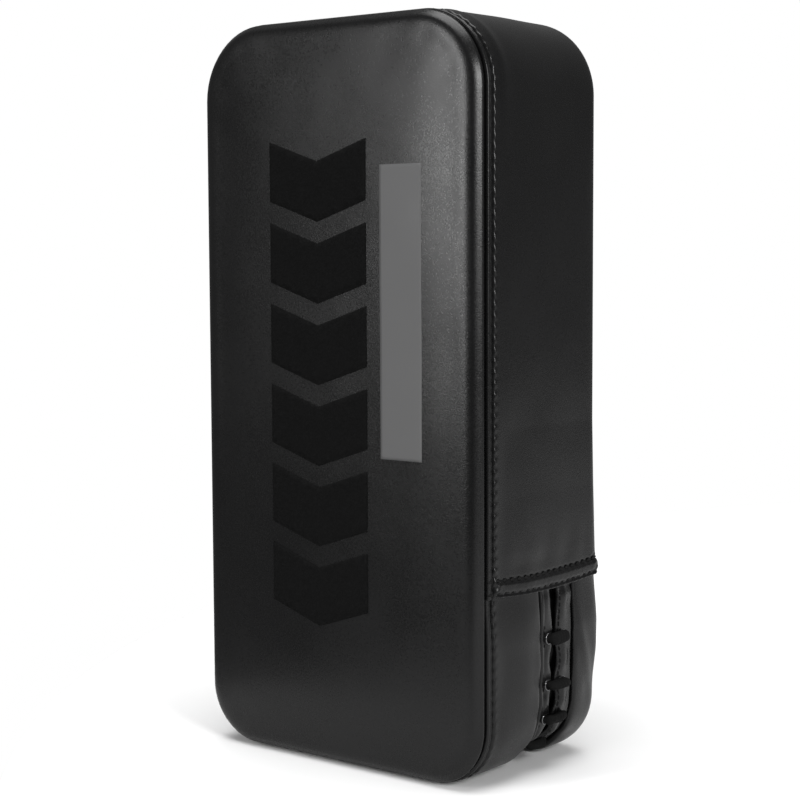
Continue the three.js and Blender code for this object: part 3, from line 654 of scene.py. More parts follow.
# Profiles as (y, offset from the outline).
FRONT_LIP = [(3.4, -4.4), (2.3, -3.2), (1.75, -1.7), (1.8, -0.2), (2.3, 0.72), (3.0, 0.8), (3.5, 0.3),
             (3.95, 0.42), (4.6, 0.66), (5.25, 0.3), (5.7, -0.6), (6.2, -1.0), (6.7, -0.4), (7.4, 0.85),
             (8.6, 1.12), (13, 1.2), (20, BULGE)]
BACK_LIP = [(88, BULGE), (94, 1.36), (98, 1.1), (100.4, 0.35), (102.4, -1.0), (103.6, -2.6), (104.2, -4.2),
            (104.35, -5.2), (103.8, -6.4), (101.8, -7.6)]
STITCH_Y = 6.2


def beads(distance, y):
    """Puckers that each stitch of the front topstitch pulls into the skin beside it."""
    wave = np.cos(2 * math.pi * distance / STITCH)
    return 0.3 * wave * bump(y, 7.7, 1.0) + 0.1 * wave * bump(y, 4.7, 0.6) - 0.2 * wave * bump(y, 6.2, 0.5)


def hem_ends(y):
    """Fades the hem out beside the front seam and the back seam."""
    return smooth((y - 6.6) / 3) * smooth((104 - y) / 4)


def smile(y):
    """How much higher the hem lies at its two ends than in its middle."""
    return 1.9 * ((y - 52) / 50) ** 2


def hem_relief(height, y):
    """Rise of the turned hem over the gusset at a height above its edge, with its two sewn rows."""
    rise = HEM_PROUD * smooth(height / 1.2) * (1 - smooth((height - 8.6) / 2.2))
    for row in HEM_ROWS:
        turns = (y - 1.6 - 0.7 * (height - row)) / HEM_PITCH - 0.5
        pucker = np.cos(2 * math.pi * turns)
        rise = rise - 0.9 * bump(height, row, 1.1) * (1 + 0.9 * pucker)
        rise = rise - 0.3 * pucker * (bump(height, row + 2, 1.0) + bump(height, row - 2, 1.0))
    return rise * hem_ends(y)


def gusset():
    fine = np.arange(0, 18, 0.45)
    hem = side_distance(HEM_EDGE)
    middle = np.arange(hem + 18, OUTLINE - hem - 18, STITCH / 4)
    distances = np.concatenate([hem + fine, middle, OUTLINE - hem - fine[::-1]])
    flat = np.stack([np.linspace(20, 88, 30), np.full(30, BULGE)], -1)
    profile = np.vstack([spline(FRONT_LIP, 46)[:-1], flat[:-1], spline(BACK_LIP, 22)])
    s, y = np.meshgrid(distances, profile[:, 0], indexing="ij")
    height = np.minimum(s - hem, OUTLINE - hem - s)
    placed_s = s + np.where(s < OUTLINE_HALF, 1, -1) * smile(y) * (1 - smooth(height / 30))
    turned_under = 2.6 * (1 - smooth(height / 0.9)) * hem_ends(y)
    offset = profile[:, 1] + beads(s, y) + hem_relief(height, y) - turned_under
    corner = (SIDE_END + TOP_ARC) / 2
    offset = offset + 0.8 * (bump(s, corner, 38) + bump(s, OUTLINE - corner, 38)) * bump(y, 15, 3.4)
    drag = bump(height, 19, 9) * np.cos(2 * math.pi * (y + 3) / 21)
    offset = offset + 0.14 * drag * smooth((y - 8) / 12) * smooth((96 - y) / 10)
    points = cover(placed_s, y, offset)
    soft = smooth((y - 9) / 10) * smooth((100 - y) / 8) * smooth((height - 15) / 10)
    lumps = ripple(points, 60, 4) * 0.5 + ripple(points, 26, 5) * 0.16
    piece = skin("gusset_skin", cover(placed_s, y, offset + lumps * soft), VINYL, 1.0)
    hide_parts("gusset_band")


def closure_tuck(distance):
    """Depth of the closure under the cover's surface: tucked in under the hem, flush below it."""
    below = side_distance(CAD_HEM) - np.abs(distance)
    return 0.25 + 1.4 * (1 - smooth((below + 4) / 30))


def pull(distance):
    """1 at each lace bar and 0 half way between two bars."""
    ends = np.array([200.0, *CROSSING_AT, -200.0])[::-1]
    turns = np.interp(distance, ends, np.arange(len(ends)))
    return 0.5 + 0.5 * np.cos(2 * math.pi * turns)


def closure_panel(name, profile, edge, node_name):
    """Cover on one side of the lacing; its folded edge is drawn in at every lace bar."""
    limit = side_distance(108)
    s, y = np.meshgrid(np.arange(-limit, limit + 0.1, STITCH / 4), profile[:, 0], indexing="ij")
    offset = profile[:, 1] - closure_tuck(s) + 0.25
    if edge < sum(EYELET_Y) / 2:
        offset = offset + beads(s, y)
    near = np.exp(-np.abs(y - edge) / 9) * smooth((y - 7) / 10)
    on_side = smooth((np.abs(s) - BOTTOM_FLAT) / 20)
    offset = offset - 0.55 * (pull(s) - 0.5) * near * (0.4 + 0.6 * on_side)
    points = cover(s, y, offset)
    soft = smooth((y - 9) / 8) * smooth((100 - y) / 8) * on_side * np.clip(np.abs(y - edge) / 6, 0, 1)
    lumps = ripple(points, 34, 6) * 0.7 + ripple(points, 15, 8) * 0.15
    fold = bump(y + 0.45 * (np.abs(s) - 130), 92, 4.5) * (y > 80)
    points = cover(s, y, offset + (lumps + 0.7 * fold) * soft)
    piece = skin(name, points, VINYL, 1.0)
    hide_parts(node_name)


def closure_panels():
    channel = [(20, BULGE), (32, 1.4), (40, 1.35), (43.6, 1.15), (45.1, 0.5), (45.5, -1.0), (44.6, -3.6),
               (42.5, -4.4)]
    front = np.vstack([spline(FRONT_LIP, 46)[:-1], spline(channel, 24)])
    closure_panel("closure_front_skin", front, 45, "closure_panel_front")
    channel = [(81, -4.6), (79.2, -3.6), (78.1, -1.4), (78.5, 0.2), (80, 0.95), (83.5, 1.3), (88, BULGE)]
    back = np.vstack([spline(channel, 18)[:-1], spline(BACK_LIP, 22)])
    closure_panel("closure_back_skin", back, 79, "closure_panel_back")


def facing(name, profile, edge, towards, seed, node_name):
    """A folded facing whose slit edge is drawn in at every lace bar and gapes between them."""
    limit = side_distance(106)
    curve = spline(profile, 34)
    s, y = np.meshgrid(np.arange(-limit, limit + 0.1, 1.1), curve[:, 0], indexing="ij")
    gape = 1 - pull(s)
    level = BULGE - sink(s)
    fold = ripple(np.stack([s / 9, y / 26, 0 * s + seed], -1) * MM, 1.0, seed)
    puff = 1.5 * gape * bump(y, edge - towards * 5.5, 4.2) + 0.6 * fold * gape * (curve[:, 1] > -1.5)
    y = y + towards * (1.0 * pull(s) - 1.5 * gape) * np.exp(-np.abs(y - edge) / 5)
    tuck = 0.6 * smooth((np.abs(s) - side_distance(CAD_HEM) + 6) / 6)
    piece = skin(name, cover(s, y, level + curve[:, 1] + puff - tuck), VINYL, 0.8)
    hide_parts(node_name)


def facings():
    profile = [(46.6, -6.0), (46.4, -3.0), (46.5, -0.6), (47.1, 0.5), (48.1, 0.6), (49.3, 0.1), (50.6, 0.1),
               (53, 0.25), (55.6, 0.3), (57.0, -0.1), (57.5, -1.2), (56.6, -2.3), (53.5, -2.4)]
    facing("facing_front_skin", profile, 57.3, 1, 11, "lacing_facing_front")
    profile = [(76.4, -6.0), (76.7, -3.0), (76.6, -1.0), (75.6, 0.15), (72.5, 0.25), (68.5, 0.45),
               (64.5, 0.4), (62.6, -0.1), (62.0, -1.2), (62.9, -2.3), (66.5, -2.4)]
    facing("facing_back_skin", profile, 62.2, -1, 12, "lacing_facing_back")


def tongue():
    limit = side_distance(108)
    s, y = np.meshgrid(np.arange(-limit, limit + 0.1, 3.0), np.linspace(47.2, 78, 20), indexing="ij")
    offset = BULGE - sink(s) - 7.6 + 0.25 * np.sin(s / 7.0 + y / 4.0)
    piece = skin("tongue_cloth", cover(s, y, offset), LINER, 0.8)
    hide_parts("lacing_tongue")


# Lacing

LACE_RADIUS = 2.1
LACE_OVER = 3.2
LACE_UNDER = 5.1
LACE_BEND = 2.4


def lace_route():
    """The lace's route as rows of distance, y and level over the facings."""
    end = side_distance(CAD_HEM) + 5
    front, back = EYELET_Y
    route = [(end, front, -LACE_UNDER)]
    for i, s in enumerate(CROSSING_AT):
        over = LACE_OVER - 1.1 * under_pad(s)
        route += [(s, front, -LACE_UNDER), (s, front - 0.6, over)]
        route += [(s, back + 0.6, over), (s, back, -LACE_UNDER)]
        if i < len(CROSSING_AT) - 1:
            for share in (0.33, 0.67):
                along = s + (CROSSING_AT[i + 1] - s) * share
                route.append((along, back + (front - back) * share, -LACE_UNDER))
    route.append((-end, back, -LACE_UNDER))
    return np.array(route, float)


def under_pad(distance):
    """0 on the sides of the pad and 1 where its edge has turned towards the ground."""
    return smooth((110 - np.abs(distance)) / 18)


def rounded(route, radius, steps):
    """The route with each sharp corner replaced by an arc."""
    points = [route[0]]
    for before, corner, after in zip(route[:-2], route[1:-1], route[2:]):
        a, b = unit(before - corner), unit(after - corner)
        opening = math.acos(max(-1, min(1, a.dot(b))))
        if opening > math.radians(150):
            points.append(corner)
            continue
        reach = radius / math.tan(opening / 2)
        centre = corner + unit(a + b) * radius / math.sin(opening / 2)
        first, last = corner + a * reach - centre, corner + b * reach - centre
        for t in np.linspace(0, 1, steps):
            points.append(centre + unit(first * (1 - t) + last * t) * radius)
    points.append(route[-1])
    return np.array(points)


def lace():
    bends = rounded(lace_route(), LACE_BEND, 8)
    dense = [bends[0]]
    for a, b in zip(bends[:-1], bends[1:]):
        count = max(1, int(np.linalg.norm(b - a) / 0.7))
        dense += [a + (b - a) * k / count for k in range(1, count + 1)]
    s, y, level = np.array(dense).T
    line = cover(s, y, BULGE - sink(s) + level)
    on_bar = smooth((level - 0.9) / 1.6) * (1 - 0.7 * under_pad(s))
    middle = on_bar * bump(y, sum(EYELET_Y) / 2, 6)
    wander = ripple(line, 4.5, 21)
    flat = LACE_RADIUS * (1 + 0.08 * on_bar) * (1 + 0.12 * wander * on_bar)
    wide = LACE_RADIUS * (1 + 0.48 * on_bar + 0.2 * middle) * (1 + 0.16 * wander * on_bar)
    piece = cord("closure_lace_cord", line, wide, flat, CORD_BLACK)
    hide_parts("closure_lace")


def eyelets():
    """Every eyelet: a rolled flange and a barrel, turned about the cover's normal."""
    profile = spline([(2.3, -2.7), (2.3, -0.6), (2.35, 0.45), (2.5, 0.72), (2.75, 0.78), (3.1, 0.66),
                      (3.3, 0.4), (3.24, 0.2), (2.95, 0.12), (2.7, 0.05), (2.65, -0.8), (2.65, -2.7)], 30)
    segments = 32
    vertices, faces, names = [], [], []
    for y, label in zip(EYELET_Y, ("front", "back")):
        for i, s in enumerate(CROSSING_AT):
            x, z, nx, nz = (float(v) for v in outline(s))
            level = BULGE - float(sink(s)) + float(flare(s, y))
            faces += grid_faces(len(profile), segments, True, True, len(vertices))
            for r, h in profile:
                for k in range(segments):
                    turn = 2 * math.pi * k / segments
                    across, deep, rise = r * math.cos(turn), r * math.sin(turn), level + h
                    vertices.append(place([x + nx * rise + nz * across, y + deep,
                                           z + nz * rise - nx * across]))
            names.append(f"eyelet_{label}_{i + 1:02d}")
    piece = make("lacing_eyelets", vertices, faces, DARK_STEEL)
    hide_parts(*names)


# Seams


def cover_normal(distance):
    _, _, nx, nz = outline(distance)
    return np.stack([nx, 0 * nx, nz], -1)


def seam_rows():
    whole = np.arange(0, OUTLINE + 0.1, STITCH / 6)
    height = np.minimum(whole, OUTLINE - whole) - side_distance(0)
    groove = np.where((height >= HEM_EDGE) & (height < HEM_EDGE + 11), -0.25, -0.85)
    stitches("front_topstitch", [cover(whole, STITCH_Y, groove)], [cover_normal(whole)], radius=0.36)
    hem = side_distance(HEM_EDGE)
    lines, normals = [], []
    for side in (1, -1):
        for row in HEM_ROWS:
            y = np.arange(1.6, 103.4, 0.8)
            surface = np.interp(y, [1.6, 5, 6, 20, 94, 98, 100.4, 102.4, 103.6],
                                [0.5, 0.1, 0.3, 1.4, 1.36, 1.1, 0.35, -1.0, -2.6])
            s = side * (hem + row + smile(y))
            lines.append(cover(s, y, surface + 0.15))
            normals.append(cover_normal(s))
    stitches("hem_stitching", lines, normals, HEM_PITCH, 0.95, share=0.68, slant=0.45, lift=-0.5)
    knots, knot_normals = [], []
    for side in (1, -1):
        for row in HEM_ROWS:
            s = side * (hem + row + 1.6)
            knots += [cover(s, np.array([1.9, 4.0, 6.6]), np.array([0.6, 0.7, 0.2])),
                      cover(s + np.array([-2.2, 0, 2.2]), 5.9, 0.1)]
            knot_normals += [cover_normal(s + np.zeros(3))] * 2
    stitches("hem_knots", knots, knot_normals, 5, 0.7, share=1.0, lift=-0.25)
    limit = side_distance(97)
    s = np.arange(-limit, limit, 1.0)
    level = BULGE - sink(s)
    gape = 1 - pull(s)
    front = cover(s, 50.2, level + 0.2 + 0.25 * gape)
    back = cover(s, 63.3 - 0.6 * pull(s) + 0.8 * gape, level + 0.5 + 0.8 * gape)
    stitches("facing_stitching", [front, back], [cover_normal(s)] * 2, 3.4, 0.26, lift=0.0)


# Print


def print_shape(name, corners, panel, lift, thickness, look):
    """A flat printed shape, laid on the striking face and following its surface."""
    spacing = 3.0
    points = []
    for a, b in zip(corners, corners[1:] + corners[:1]):
        a, b = Vector(a), Vector(b)
        steps = max(1, round((b - a).length / spacing))
        points += [a.lerp(b, k / steps) for k in range(steps)]
    count = len(points)
    ring = np.array([tuple(p) for p in points])
    low, high = ring.min(0), ring.max(0)
    closed = np.vstack([ring, ring[:1]])
    for z in np.arange(low[1] + spacing / 2, high[1], spacing):
        for x in np.arange(low[0] + spacing / 2, high[0], spacing):
            if inside((x, z), closed) and np.linalg.norm(ring - (x, z), axis=1).min() > spacing * 0.5:
                points.append(Vector((x, z)))
    spots, faces = triangulated(points, count)
    vertices = []
    for x, z in spots:
        hit = panel.ray_cast(Vector(place([x, FRONT_FACE - 20, z])), Vector(TO_BACK))[0]
        vertices.append(hit - Vector((0, lift * MM, 0)))
    piece = make(name, np.array(vertices), faces, look)
    face_towards(piece, -1)
    add_thickness(piece, thickness)


def inside(point, closed):
    x, z = point
    count = 0
    for (x0, z0), (x1, z1) in zip(closed[:-1], closed[1:]):
        if (z0 > z) != (z1 > z) and x < x0 + (z - z0) * (x1 - x0) / (z1 - z0):
            count += 1
    return count % 2 == 1


def prints(panel_piece):
    """A column of plain flocked chevrons beside one plain grey bar: no letters, no mark."""
    panel = BVHTree.FromObject(panel_piece, bpy.context.evaluated_depsgraph_get())
    left, right, top, bottom = -42, 25, 336, 75
    middle = (left + right) / 2
    count, drop, thick = 6, 11, 32
    step = (top - bottom - thick - drop) / (count - 1)
    for i in range(count):
        z = top - i * step
        corners = [(left, z), (left, z - thick), (middle, z - thick - drop), (right, z - thick), (right, z),
                   (middle, z - drop)]
        print_shape(f"flock_chevron_{i + 1}", corners, panel, 0.35, 0.5, FLOCK)
    bar = [(34, 169), (61, 169), (61, 322), (34, 322)]
    print_shape("grey_bar", bar, panel, 0.08, 0.2, INK)


# Forearm straps

STRAP_HEIGHTS = {"upper": 215, "lower": 105}
STRAP_WIDTH = 45
STRAP_THICK = 2.4
ARCH_HALF = 62
ARCH_RISE = 56
ARCH_BASE = BACK_FACE + 5.5
ARCH_END = 11.5
FOOT_X = 82
WRAP = 4.8
TAIL_OFFSET = 5.3
TAIL_END = 125
RING_DEPTH = 12.5
RING_HALF = 27.0
RING_CORNER = 4.0
RING_WIRE = 2.0


def arch(degrees, offset=0):
    """x and y on the strap's arch, or beside it, from 0 degrees on the right to 180 on the left."""
    t = np.radians(degrees)
    normal = unit(np.stack([ARCH_RISE * np.cos(t), ARCH_HALF * np.sin(t)], -1))
    point = np.stack([ARCH_HALF * np.cos(t), ARCH_BASE + ARCH_RISE * np.sin(t)], -1)
    return point + normal * np.asarray(offset)[..., None]


def strap_places():
    """Wrap centre, direction out from the arch, direction down the ring, and its lower bar's centre."""
    centre = arch(ARCH_END, WRAP)
    out = (arch(ARCH_END, 2 * WRAP) - centre) / WRAP
    down = np.array([out[1], -out[0]])
    return centre, out, down, centre + down * RING_DEPTH


def lifted(plan, z):
    """x and y points at a height, as row-frame points."""
    plan = np.asarray(plan, float)
    return place(np.stack([plan[:, 0], plan[:, 1], np.full(len(plan), z)], -1))


def strap_line():
    """x and y along the strap: its sewn foot, the arch, the turn round the ring and the tail's root."""
    centre, out, down, _ = strap_places()
    foot_y, bend = BACK_FACE + 1.5, 4.5
    line = [(-FOOT_X + 2.5 * k, foot_y) for k in range(7)]
    for angle in np.radians(np.linspace(-90, -12, 7)):
        line.append((-66.5 + bend * math.cos(angle), foot_y + bend + bend * math.sin(angle)))
    line += list(arch(np.linspace(178, ARCH_END, 60)))
    for angle in np.radians(np.linspace(12, 180, 15)):
        line.append(centre - out * WRAP * math.cos(angle) + down * WRAP * math.sin(angle))
    t = np.linspace(0.06, 1, 16)
    return line + list(arch(ARCH_END + 24 * t, 2 * WRAP - (2 * WRAP - TAIL_OFFSET) * smooth(t)))


def edge_lines(plan, z, lift):
    """Two seam lines near the edges of a strap's face, and the face's normals."""
    placed = resample(lifted(plan, z), 1.2)
    normal = np.cross(unit(np.gradient(placed, axis=0)), UP)
    middle, reach = placed + normal * lift * MM, UP * SEAM_SHARE * STRAP_WIDTH / 2 * MM
    return [middle - reach, middle + reach], normal


def box_seam(x0, x1, z0, z1, y):
    """Sewn rectangle with a cross in it, flat on the back panel's side."""
    corners = [(x0, z0), (x1, z0), (x1, z1), (x0, z1), (x0, z0)]
    runs = list(zip(corners[:-1], corners[1:]))
    runs += [((x0, z0), (x1, z1)), ((x0, z1), (x1, z0))]
    return [place([[a[0], y, a[1]], [b[0], y, b[1]]]) for a, b in runs]


def patch_section(thickness):
    half = thickness / 2
    shares = (-0.98, -0.5, 0, 0.5, 0.98)
    top = [(share, half) for share in shares]
    bottom = [(-share, -half) for share in shares]
    return np.array(top + [(1, 0)] + bottom + [(-1, 0)])


def forearm_strap(place_name, z):
    section = strap_section(STRAP_THICK)
    line = strap_line()
    strap = band(f"{place_name}_strap_arch", lifted(line, z), STRAP_WIDTH / 2, section, STRAP_VINYL,
                 "pad")
    narrow_end(strap, line[-1])
    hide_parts(f"{place_name}_forearm_strap")
    tail_angles = np.concatenate([np.linspace(36.2, 119, 42), np.linspace(120.5, TAIL_END, 5)])
    tail_plan = arch(tail_angles, TAIL_OFFSET)
    tail = band(f"{place_name}_pull_tail", lifted(tail_plan, z), STRAP_WIDTH / 2, section, STRAP_VINYL,
                f"{place_name}_tail")
    round_end(tail, arch(TAIL_END, TAIL_OFFSET), z)
    narrow_end(tail, tail_plan[0])
    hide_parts(f"{place_name}_strap_tail")
    for label, span, offset, look, body in (("loop", (42, 150), 2.0, LOOP, "pad"),
                                            ("hook", (45, 119), 3.3, HOOK, f"{place_name}_tail")):
        piece = band(f"{place_name}_{label}_tape", lifted(arch(np.linspace(*span, 40), offset), z),
                     (STRAP_WIDTH - 5) / 2, patch_section(0.95), look, body)
        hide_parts(f"{place_name}_{label}_patch")
    strap_seams(place_name, tail_plan, z)
    ring_and_tab(place_name, z)


def strap_seams(place_name, tail_plan, z):
    rows, normal = edge_lines(arch(np.linspace(172, 128, 50)), z, 1.2)
    box = box_seam(-80, -67.5, z - 18, z + 18, BACK_FACE + 2.95)
    stitches(f"{place_name}_strap_seams", rows + box, [normal] * 2 + [TO_BACK] * len(box), 3.6)
    rows, normal = edge_lines(arch(np.linspace(172, 14, 120)), z, -1.0)
    stitches(f"{place_name}_lining_seams", [row + normal * 0.2 * MM for row in rows], [-normal] * 2, 3.6)
    rows, normal = edge_lines(tail_plan, z, 1.2)
    root = arch(40.0, 6.7)
    rows = [row[2:-8] for row in rows] + [place([[*root, z - 19], [*root, z + 19]])]
    normals = [normal[2:-8]] * 2 + [normal[3]]
    stitches(f"{place_name}_tail_seams", rows, normals, 3.6, body=f"{place_name}_tail")


def narrow_end(piece, end):
    """Thins the last edge of a strap, so that two straps folded at their ends clear each other."""
    tip = place([*end, 0.0])[:2]
    for vertex in piece.data.vertices:
        arm = np.array(vertex.co[:2]) - tip
        if np.linalg.norm(arm) < 1.9 * MM:
            vertex.co.x, vertex.co.y = tip + arm * 0.68


def round_end(piece, end, z):
    """Rounds the two corners of a tail's free end."""
    radius = 11
    tip = Vector(place([*end, z]))
    for vertex in piece.data.vertices:
        gap = (vertex.co.xy - tip.xy).length / MM
        if gap < radius:
            limit = 1 - 0.42 * (1 - math.sqrt(max(0.0, 1 - (1 - gap / radius) ** 2)))
            vertex.co.z = tip.z + (vertex.co.z - tip.z) * limit


def rounded_corners(low, high, radius, first, count):
    """A closed loop round a rounded rectangle, from the corner that begins at an angle, first."""
    line = []
    for start in range(first, first + 360, 90):
        quarter = start // 90 % 4
        x = high[0] - radius if quarter in (0, 3) else low[0] + radius
        z = high[1] - radius if quarter in (0, 1) else low[1] + radius
        for turn in np.radians(np.linspace(start, start + 90, count)):
            line.append((x + radius * math.cos(turn), z + radius * math.sin(turn)))
    return np.array(line + line[:1])


def ring_and_tab(place_name, z):
    _, _, down, foot = strap_places()
    plan = rounded_corners((0, -RING_HALF), (RING_DEPTH, RING_HALF), RING_CORNER, 0, 9)
    points = np.array([[foot[0] - down[0] * u, foot[1] - down[1] * u, z + w] for u, w in plan])
    line = resample(place(points), 1.5)[:-1]
    along = unit(np.roll(line, -1, 0) - np.roll(line, 1, 0))
    flat = np.cross(np.array([-down[0], -down[1], 0.0]), UP)
    inward = np.cross(flat, along)
    sides = 20
    angle = np.linspace(0, 2 * math.pi, sides, endpoint=False)
    ring = (line[:, None, :] + inward[:, None, :] * (RING_WIRE * MM * np.cos(angle))[None, :, None]
            + flat[None, None, :] * (RING_WIRE * MM * np.sin(angle))[None, :, None])
    piece = make(f"{place_name}_steel_ring", ring, grid_faces(len(line), sides, True, True), STEEL,
                 f"{place_name}_ring")
    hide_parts(f"{place_name}_strap_ring")
    line = [(FOOT_X - 1.5 * k, BACK_FACE + 1.55) for k in range(9)]
    for turn in np.radians(np.linspace(-90, -372, 40)):
        line.append((foot[0] + 3.65 * math.cos(turn), foot[1] + 3.65 * math.sin(turn)))
    tab = band(f"{place_name}_tab_loop", lifted(line, z), 22, strap_section(2.1, 0.08), STRAP_VINYL,
               "pad")
    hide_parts(f"{place_name}_ring_tab")
    box = box_seam(74.5, 81, z - 18, z + 18, BACK_FACE + 2.75)
    stitches(f"{place_name}_tab_seams", box, [TO_BACK] * len(box), 3.2)


# Forearm cushion

CUSHION_HALF = 50
CUSHION_BOTTOM = 66
CUSHION_TOP = 256
CUSHION_CORNER = 16
CUSHION_SEAM = 4.5
CUSHION_CHANNEL = 17


def rounded_outline(x0, z0, x1, z1, radius, spacing):
    """An evenly spaced loop round a rounded rectangle, in x and z."""
    line = rounded_corners((x0, z0), (x1, z1), radius, -90, 10)
    run = run_of(line)
    return at_run(np.linspace(0, run[-1], int(run[-1] / spacing), endpoint=False), run, line)


def forearm_cushion():
    floor = BACK_FACE + 1.7
    edge = rounded_outline(-CUSHION_HALF, CUSHION_BOTTOM, CUSHION_HALF, CUSHION_TOP, CUSHION_CORNER, 3.4)
    inner, triangles = filled(edge, 3.4)
    channel = np.abs(np.abs(inner[:, 0]) - CUSHION_CHANNEL)
    body = smooth((gap_to(edge, inner) - CUSHION_SEAM) / 7) * (0.35 + 0.65 * smooth(channel / 7))
    placed = place(np.stack([inner[:, 0], floor + 3.6 * body, inner[:, 1]], -1))
    piece = make("forearm_cushion_pad", placed, triangles, VINYL)
    face_towards(piece, 1)
    x, _, z = np.array([v.co for v in piece.data.vertices]).T / MM
    gap = gap_to(edge, np.stack([x, z - BASE_Z], -1))
    in_channel = (np.abs(np.abs(x) - CUSHION_CHANNEL) < 2.0) & (gap > CUSHION_SEAM)
    inflate(piece, 4.0, 2.6, (gap < CUSHION_SEAM + 1.2) | in_channel)
    add_thickness(piece, 1.0)
    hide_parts("forearm_cushion")
    loop = rounded_outline(3 - CUSHION_HALF, CUSHION_BOTTOM + 3, CUSHION_HALF - 3, CUSHION_TOP - 3,
                           CUSHION_CORNER - 3, 2)
    loop = np.vstack([loop, loop[:1]])
    lines = [place(np.insert(loop, 1, floor, axis=1))]
    z = np.linspace(CUSHION_BOTTOM + 6, CUSHION_TOP - 6, 60)
    for x in (-CUSHION_CHANNEL, CUSHION_CHANNEL):
        lines.append(place(np.stack([0 * z + x, 0 * z + floor + 1.25, z], -1)))
    stitches("cushion_stitching", lines, [TO_BACK] * 3, 4.4, 0.32, lift=0.05)


# Handle

HANDLE_Z = 335
GRIP_Y = BACK_FACE + 46
GRIP_RADIUS = 14.0
GRIP_HALF = 50
GRIP_LAP = 15.5


def handle():
    z = HANDLE_Z
    floor = BACK_FACE + 1.9
    for side, label in ((1, "right"), (-1, "left")):
        line = spline([(78, floor), (70, floor), (63, floor + 0.4), (57.5, floor + 4.5), (54.8, floor + 12),
                       (53.6, floor + 22), (52.8, GRIP_Y - 9), (50.5, GRIP_Y - 3), (45, GRIP_Y),
                       (38, GRIP_Y)], 60)
        strap = band(f"handle_strap_{label}", lifted(line * [side, 1], z), 12, strap_section(3.2, 0.3), VINYL,
                     None, UP * side)
        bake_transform(strap)
        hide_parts(f"handle_anchor_{label}", f"grip_leg_{label}")
        handle_patch(side, label, z)
    grip(z)


def handle_patch(side, label, z):
    """Reinforcing patch sewn over the strap's foot."""
    ring = rounded_outline(60, z - 19, 82, z + 19, 4, 1.6) * [side, 1]
    inner, triangles = filled(ring[::side], 1.6)
    gap = gap_to(ring, inner)
    over_strap = smooth((13.5 - np.abs(inner[:, 1] - z)) / 3) * smooth((80.5 - np.abs(inner[:, 0])) / 3)
    rise = 0.9 + 2.95 * over_strap * smooth(gap / 2) + 0.35 * smooth(gap / 1.2)
    placed = place(np.stack([inner[:, 0], BACK_FACE + rise, inner[:, 1]], -1))
    piece = make(f"handle_patch_{label}", placed, triangles, VINYL)
    face_towards(piece, 1)
    add_thickness(piece, 0.8)
    lines = box_seam(side * 63.5, side * 79.5, z - 16.5, z + 16.5, BACK_FACE + 1.5)[:4]
    cross = box_seam(side * 63.5, side * 79.5, z - 9, z + 9, BACK_FACE + 4.35)[4:]
    stitches(f"handle_seams_{label}", lines + cross, [TO_BACK] * 6, 3.4, 0.32)


def grip(z):
    """Padded roll wound with an overlapping strip, and bound at both ends."""
    x, turn = np.meshgrid(np.arange(-GRIP_HALF, GRIP_HALF + 0.01, 0.7),
                          np.linspace(0, 2 * math.pi, 56, endpoint=False), indexing="ij")
    winding = np.mod(x / GRIP_LAP + turn / (2 * math.pi), 1)
    lap = 0.55 * winding - 0.55 * smooth((winding - 0.93) / 0.07)
    ends = 1 - 0.22 * smooth((np.abs(x) - GRIP_HALF + 7) / 7) ** 2
    binding = 0.7 * bump(np.abs(x), GRIP_HALF - 7, 1.6) - 0.45 * bump(np.abs(x), GRIP_HALF - 10, 0.7)
    radius = (GRIP_RADIUS - 0.65) * ends + lap * ends + binding
    points = place(np.stack([x, GRIP_Y + radius * np.cos(turn), z + radius * np.sin(turn)], -1))
    roll = make("grip_roll", points, capped_faces(*points.shape[:2]), STRAP_VINYL, "handle")
    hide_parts("grip_wrap")
    turn = np.linspace(0, 2 * math.pi, 60)
    normal = np.stack([0 * turn, np.cos(turn), np.sin(turn)], -1)
    lines = [place([side * (GRIP_HALF - 10), GRIP_Y, z] + normal * (GRIP_RADIUS - 0.9)) for side in (-1, 1)]
    stitches("grip_stitching", lines, [normal] * 2, 3.4, body="handle")


# Carried CAD nodes


def carried_nodes():
    looks = {"impact_foam": FOAM, "foam_core_front": FOAM, "foam_core_middle": FOAM, "foam_core_back": FOAM,
             "grip_core": GRIP_FOAM, "back_doubler": LINER}
    for name, look in looks.items():
        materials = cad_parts[name].data.materials
        materials.clear()
        materials.append(look)


# Studio


def camera():
    """Camera at the photograph's viewing angle: 38.3 degrees to the right and 5 degrees above."""
    azimuth, elevation, roll = (math.radians(a) for a in (38.33, 4.96, -0.25))
    back = Vector((math.sin(azimuth) * math.cos(elevation), -math.cos(azimuth) * math.cos(elevation),
                   math.sin(elevation)))
    right = (-back).cross(Vector((0, 0, 1))).normalized()
    up = right.cross(-back)
    across = right * math.cos(roll) + up * math.sin(roll)
    upward = up * math.cos(roll) - right * math.sin(roll)
    lens = bpy.data.cameras.new("studio_camera")
    lens.sensor_width = 36
    lens.lens = 36 * 1828.7 / 800
    lens.clip_start = 0.05
    shot = bpy.data.objects.new("studio_camera", lens)
    spot = Vector((0.63179, -0.74801, 0.28245)) + Vector((0, SEAM_Y, BASE_Z)) * MM
    turn = Matrix((across, upward, back)).transposed().to_4x4()
    shot.matrix_world = Matrix.Translation(spot) @ turn
    bpy.context.scene.collection.objects.link(shot)
    bpy.context.scene.camera = shot


def softbox(name, position, target, width, height, power):
    light = bpy.data.lights.new(name, "AREA")
    light.shape = "RECTANGLE"
    light.size, light.size_y = width, height
    light.energy = power
    lamp = bpy.data.objects.new(name, light)
    lamp.location = position
    aim = Vector(target) - Vector(position)
    lamp.rotation_euler = aim.to_track_quat("-Z", "Y").to_euler()
    bpy.context.scene.collection.objects.link(lamp)


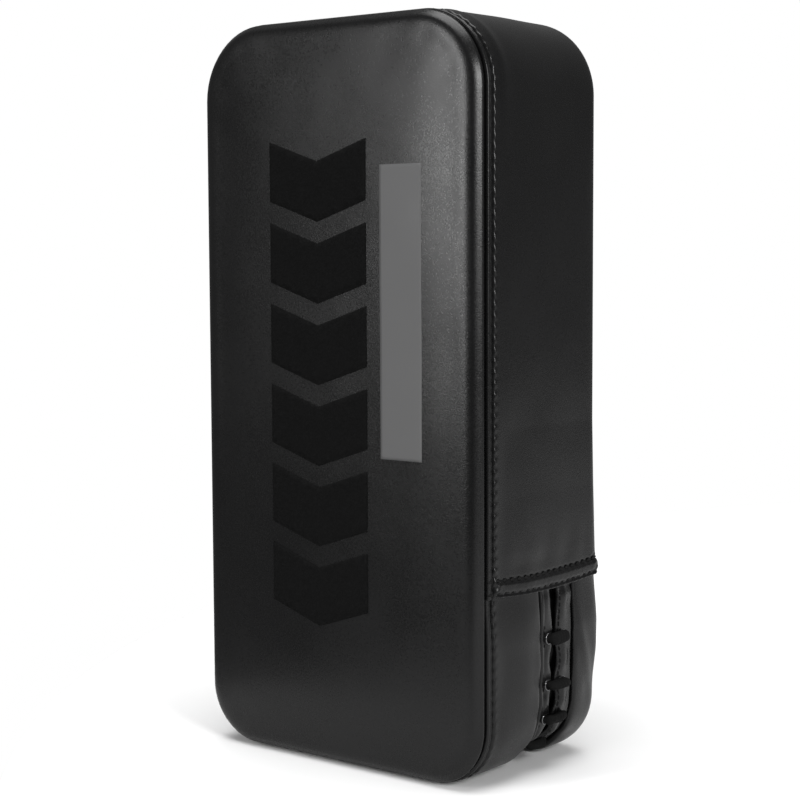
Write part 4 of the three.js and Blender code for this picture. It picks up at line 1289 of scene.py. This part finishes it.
def seen_and_lit(tree, seen, lit):
    """One shader for what the camera sees and another for the light that the scene gets."""
    path = tree.nodes.new("ShaderNodeLightPath")
    mixed = tree.nodes.new("ShaderNodeMixShader")
    tree.links.new(path.outputs["Is Camera Ray"], mixed.inputs["Fac"])
    tree.links.new(lit.outputs[0], mixed.inputs[1])
    tree.links.new(seen.outputs[0], mixed.inputs[2])
    return mixed.outputs["Shader"]


def floor_material():
    made, shader, where = new_look("pale_floor")
    tree = made.node_tree
    paint(shader, clouds(where, 3.0), (0.86, 0.86, 0.86), (0.88, 0.88, 0.88))
    shader.inputs["Roughness"].default_value = 0.6
    bounce = node(tree, "ShaderNodeBsdfDiffuse", Color=(0.62, 0.62, 0.62, 1))
    tree.links.new(seen_and_lit(tree, shader, bounce), tree.nodes["Material Output"].inputs["Surface"])
    return made


def studio():
    floor = make("floor", [(0.95 * math.cos(t) + 0.55, 0.95 * math.sin(t) + 0.45, -0.0005)
                           for t in np.linspace(0, 2 * math.pi, 96, endpoint=False)],
                 [tuple(range(96))], floor_material(), None)
    world = bpy.data.worlds.new("studio")
    world.use_nodes = True
    bpy.context.scene.world = world
    tree = world.node_tree
    tree.nodes.clear()
    seen = node(tree, "ShaderNodeBackground", Color=(1, 1, 1, 1), Strength=1.0)
    lit = node(tree, "ShaderNodeBackground", Color=(1, 1, 1, 1), Strength=0.2)
    out = tree.nodes.new("ShaderNodeOutputWorld")
    tree.links.new(seen_and_lit(tree, seen, lit), out.inputs["Surface"])
    overhead = bpy.data.lights.new("overhead", "SUN")
    overhead.energy = 3.1
    overhead.angle = math.radians(50)
    bpy.context.scene.collection.objects.link(bpy.data.objects.new("overhead", overhead))
    softbox("key_softbox", (-0.61, -1.5, 0.6), (0, 0, 0.3), 0.26, 0.9, 14.8)
    softbox("side_softbox", (1.42, -0.62, 0.72), (0, 0, 0.3), 0.45, 0.6, 20)
    bpy.context.scene.view_settings.view_transform = "Standard"


# Assembly

camera()
studio()
carried_nodes()
front = front_panel()
back_panel()
gusset()
closure_panels()
facings()
tongue()
lace()
eyelets()
seam_rows()
prints(front)
forearm_cushion()
for strap_name, strap_height in STRAP_HEIGHTS.items():
    forearm_strap(strap_name, strap_height)
handle()
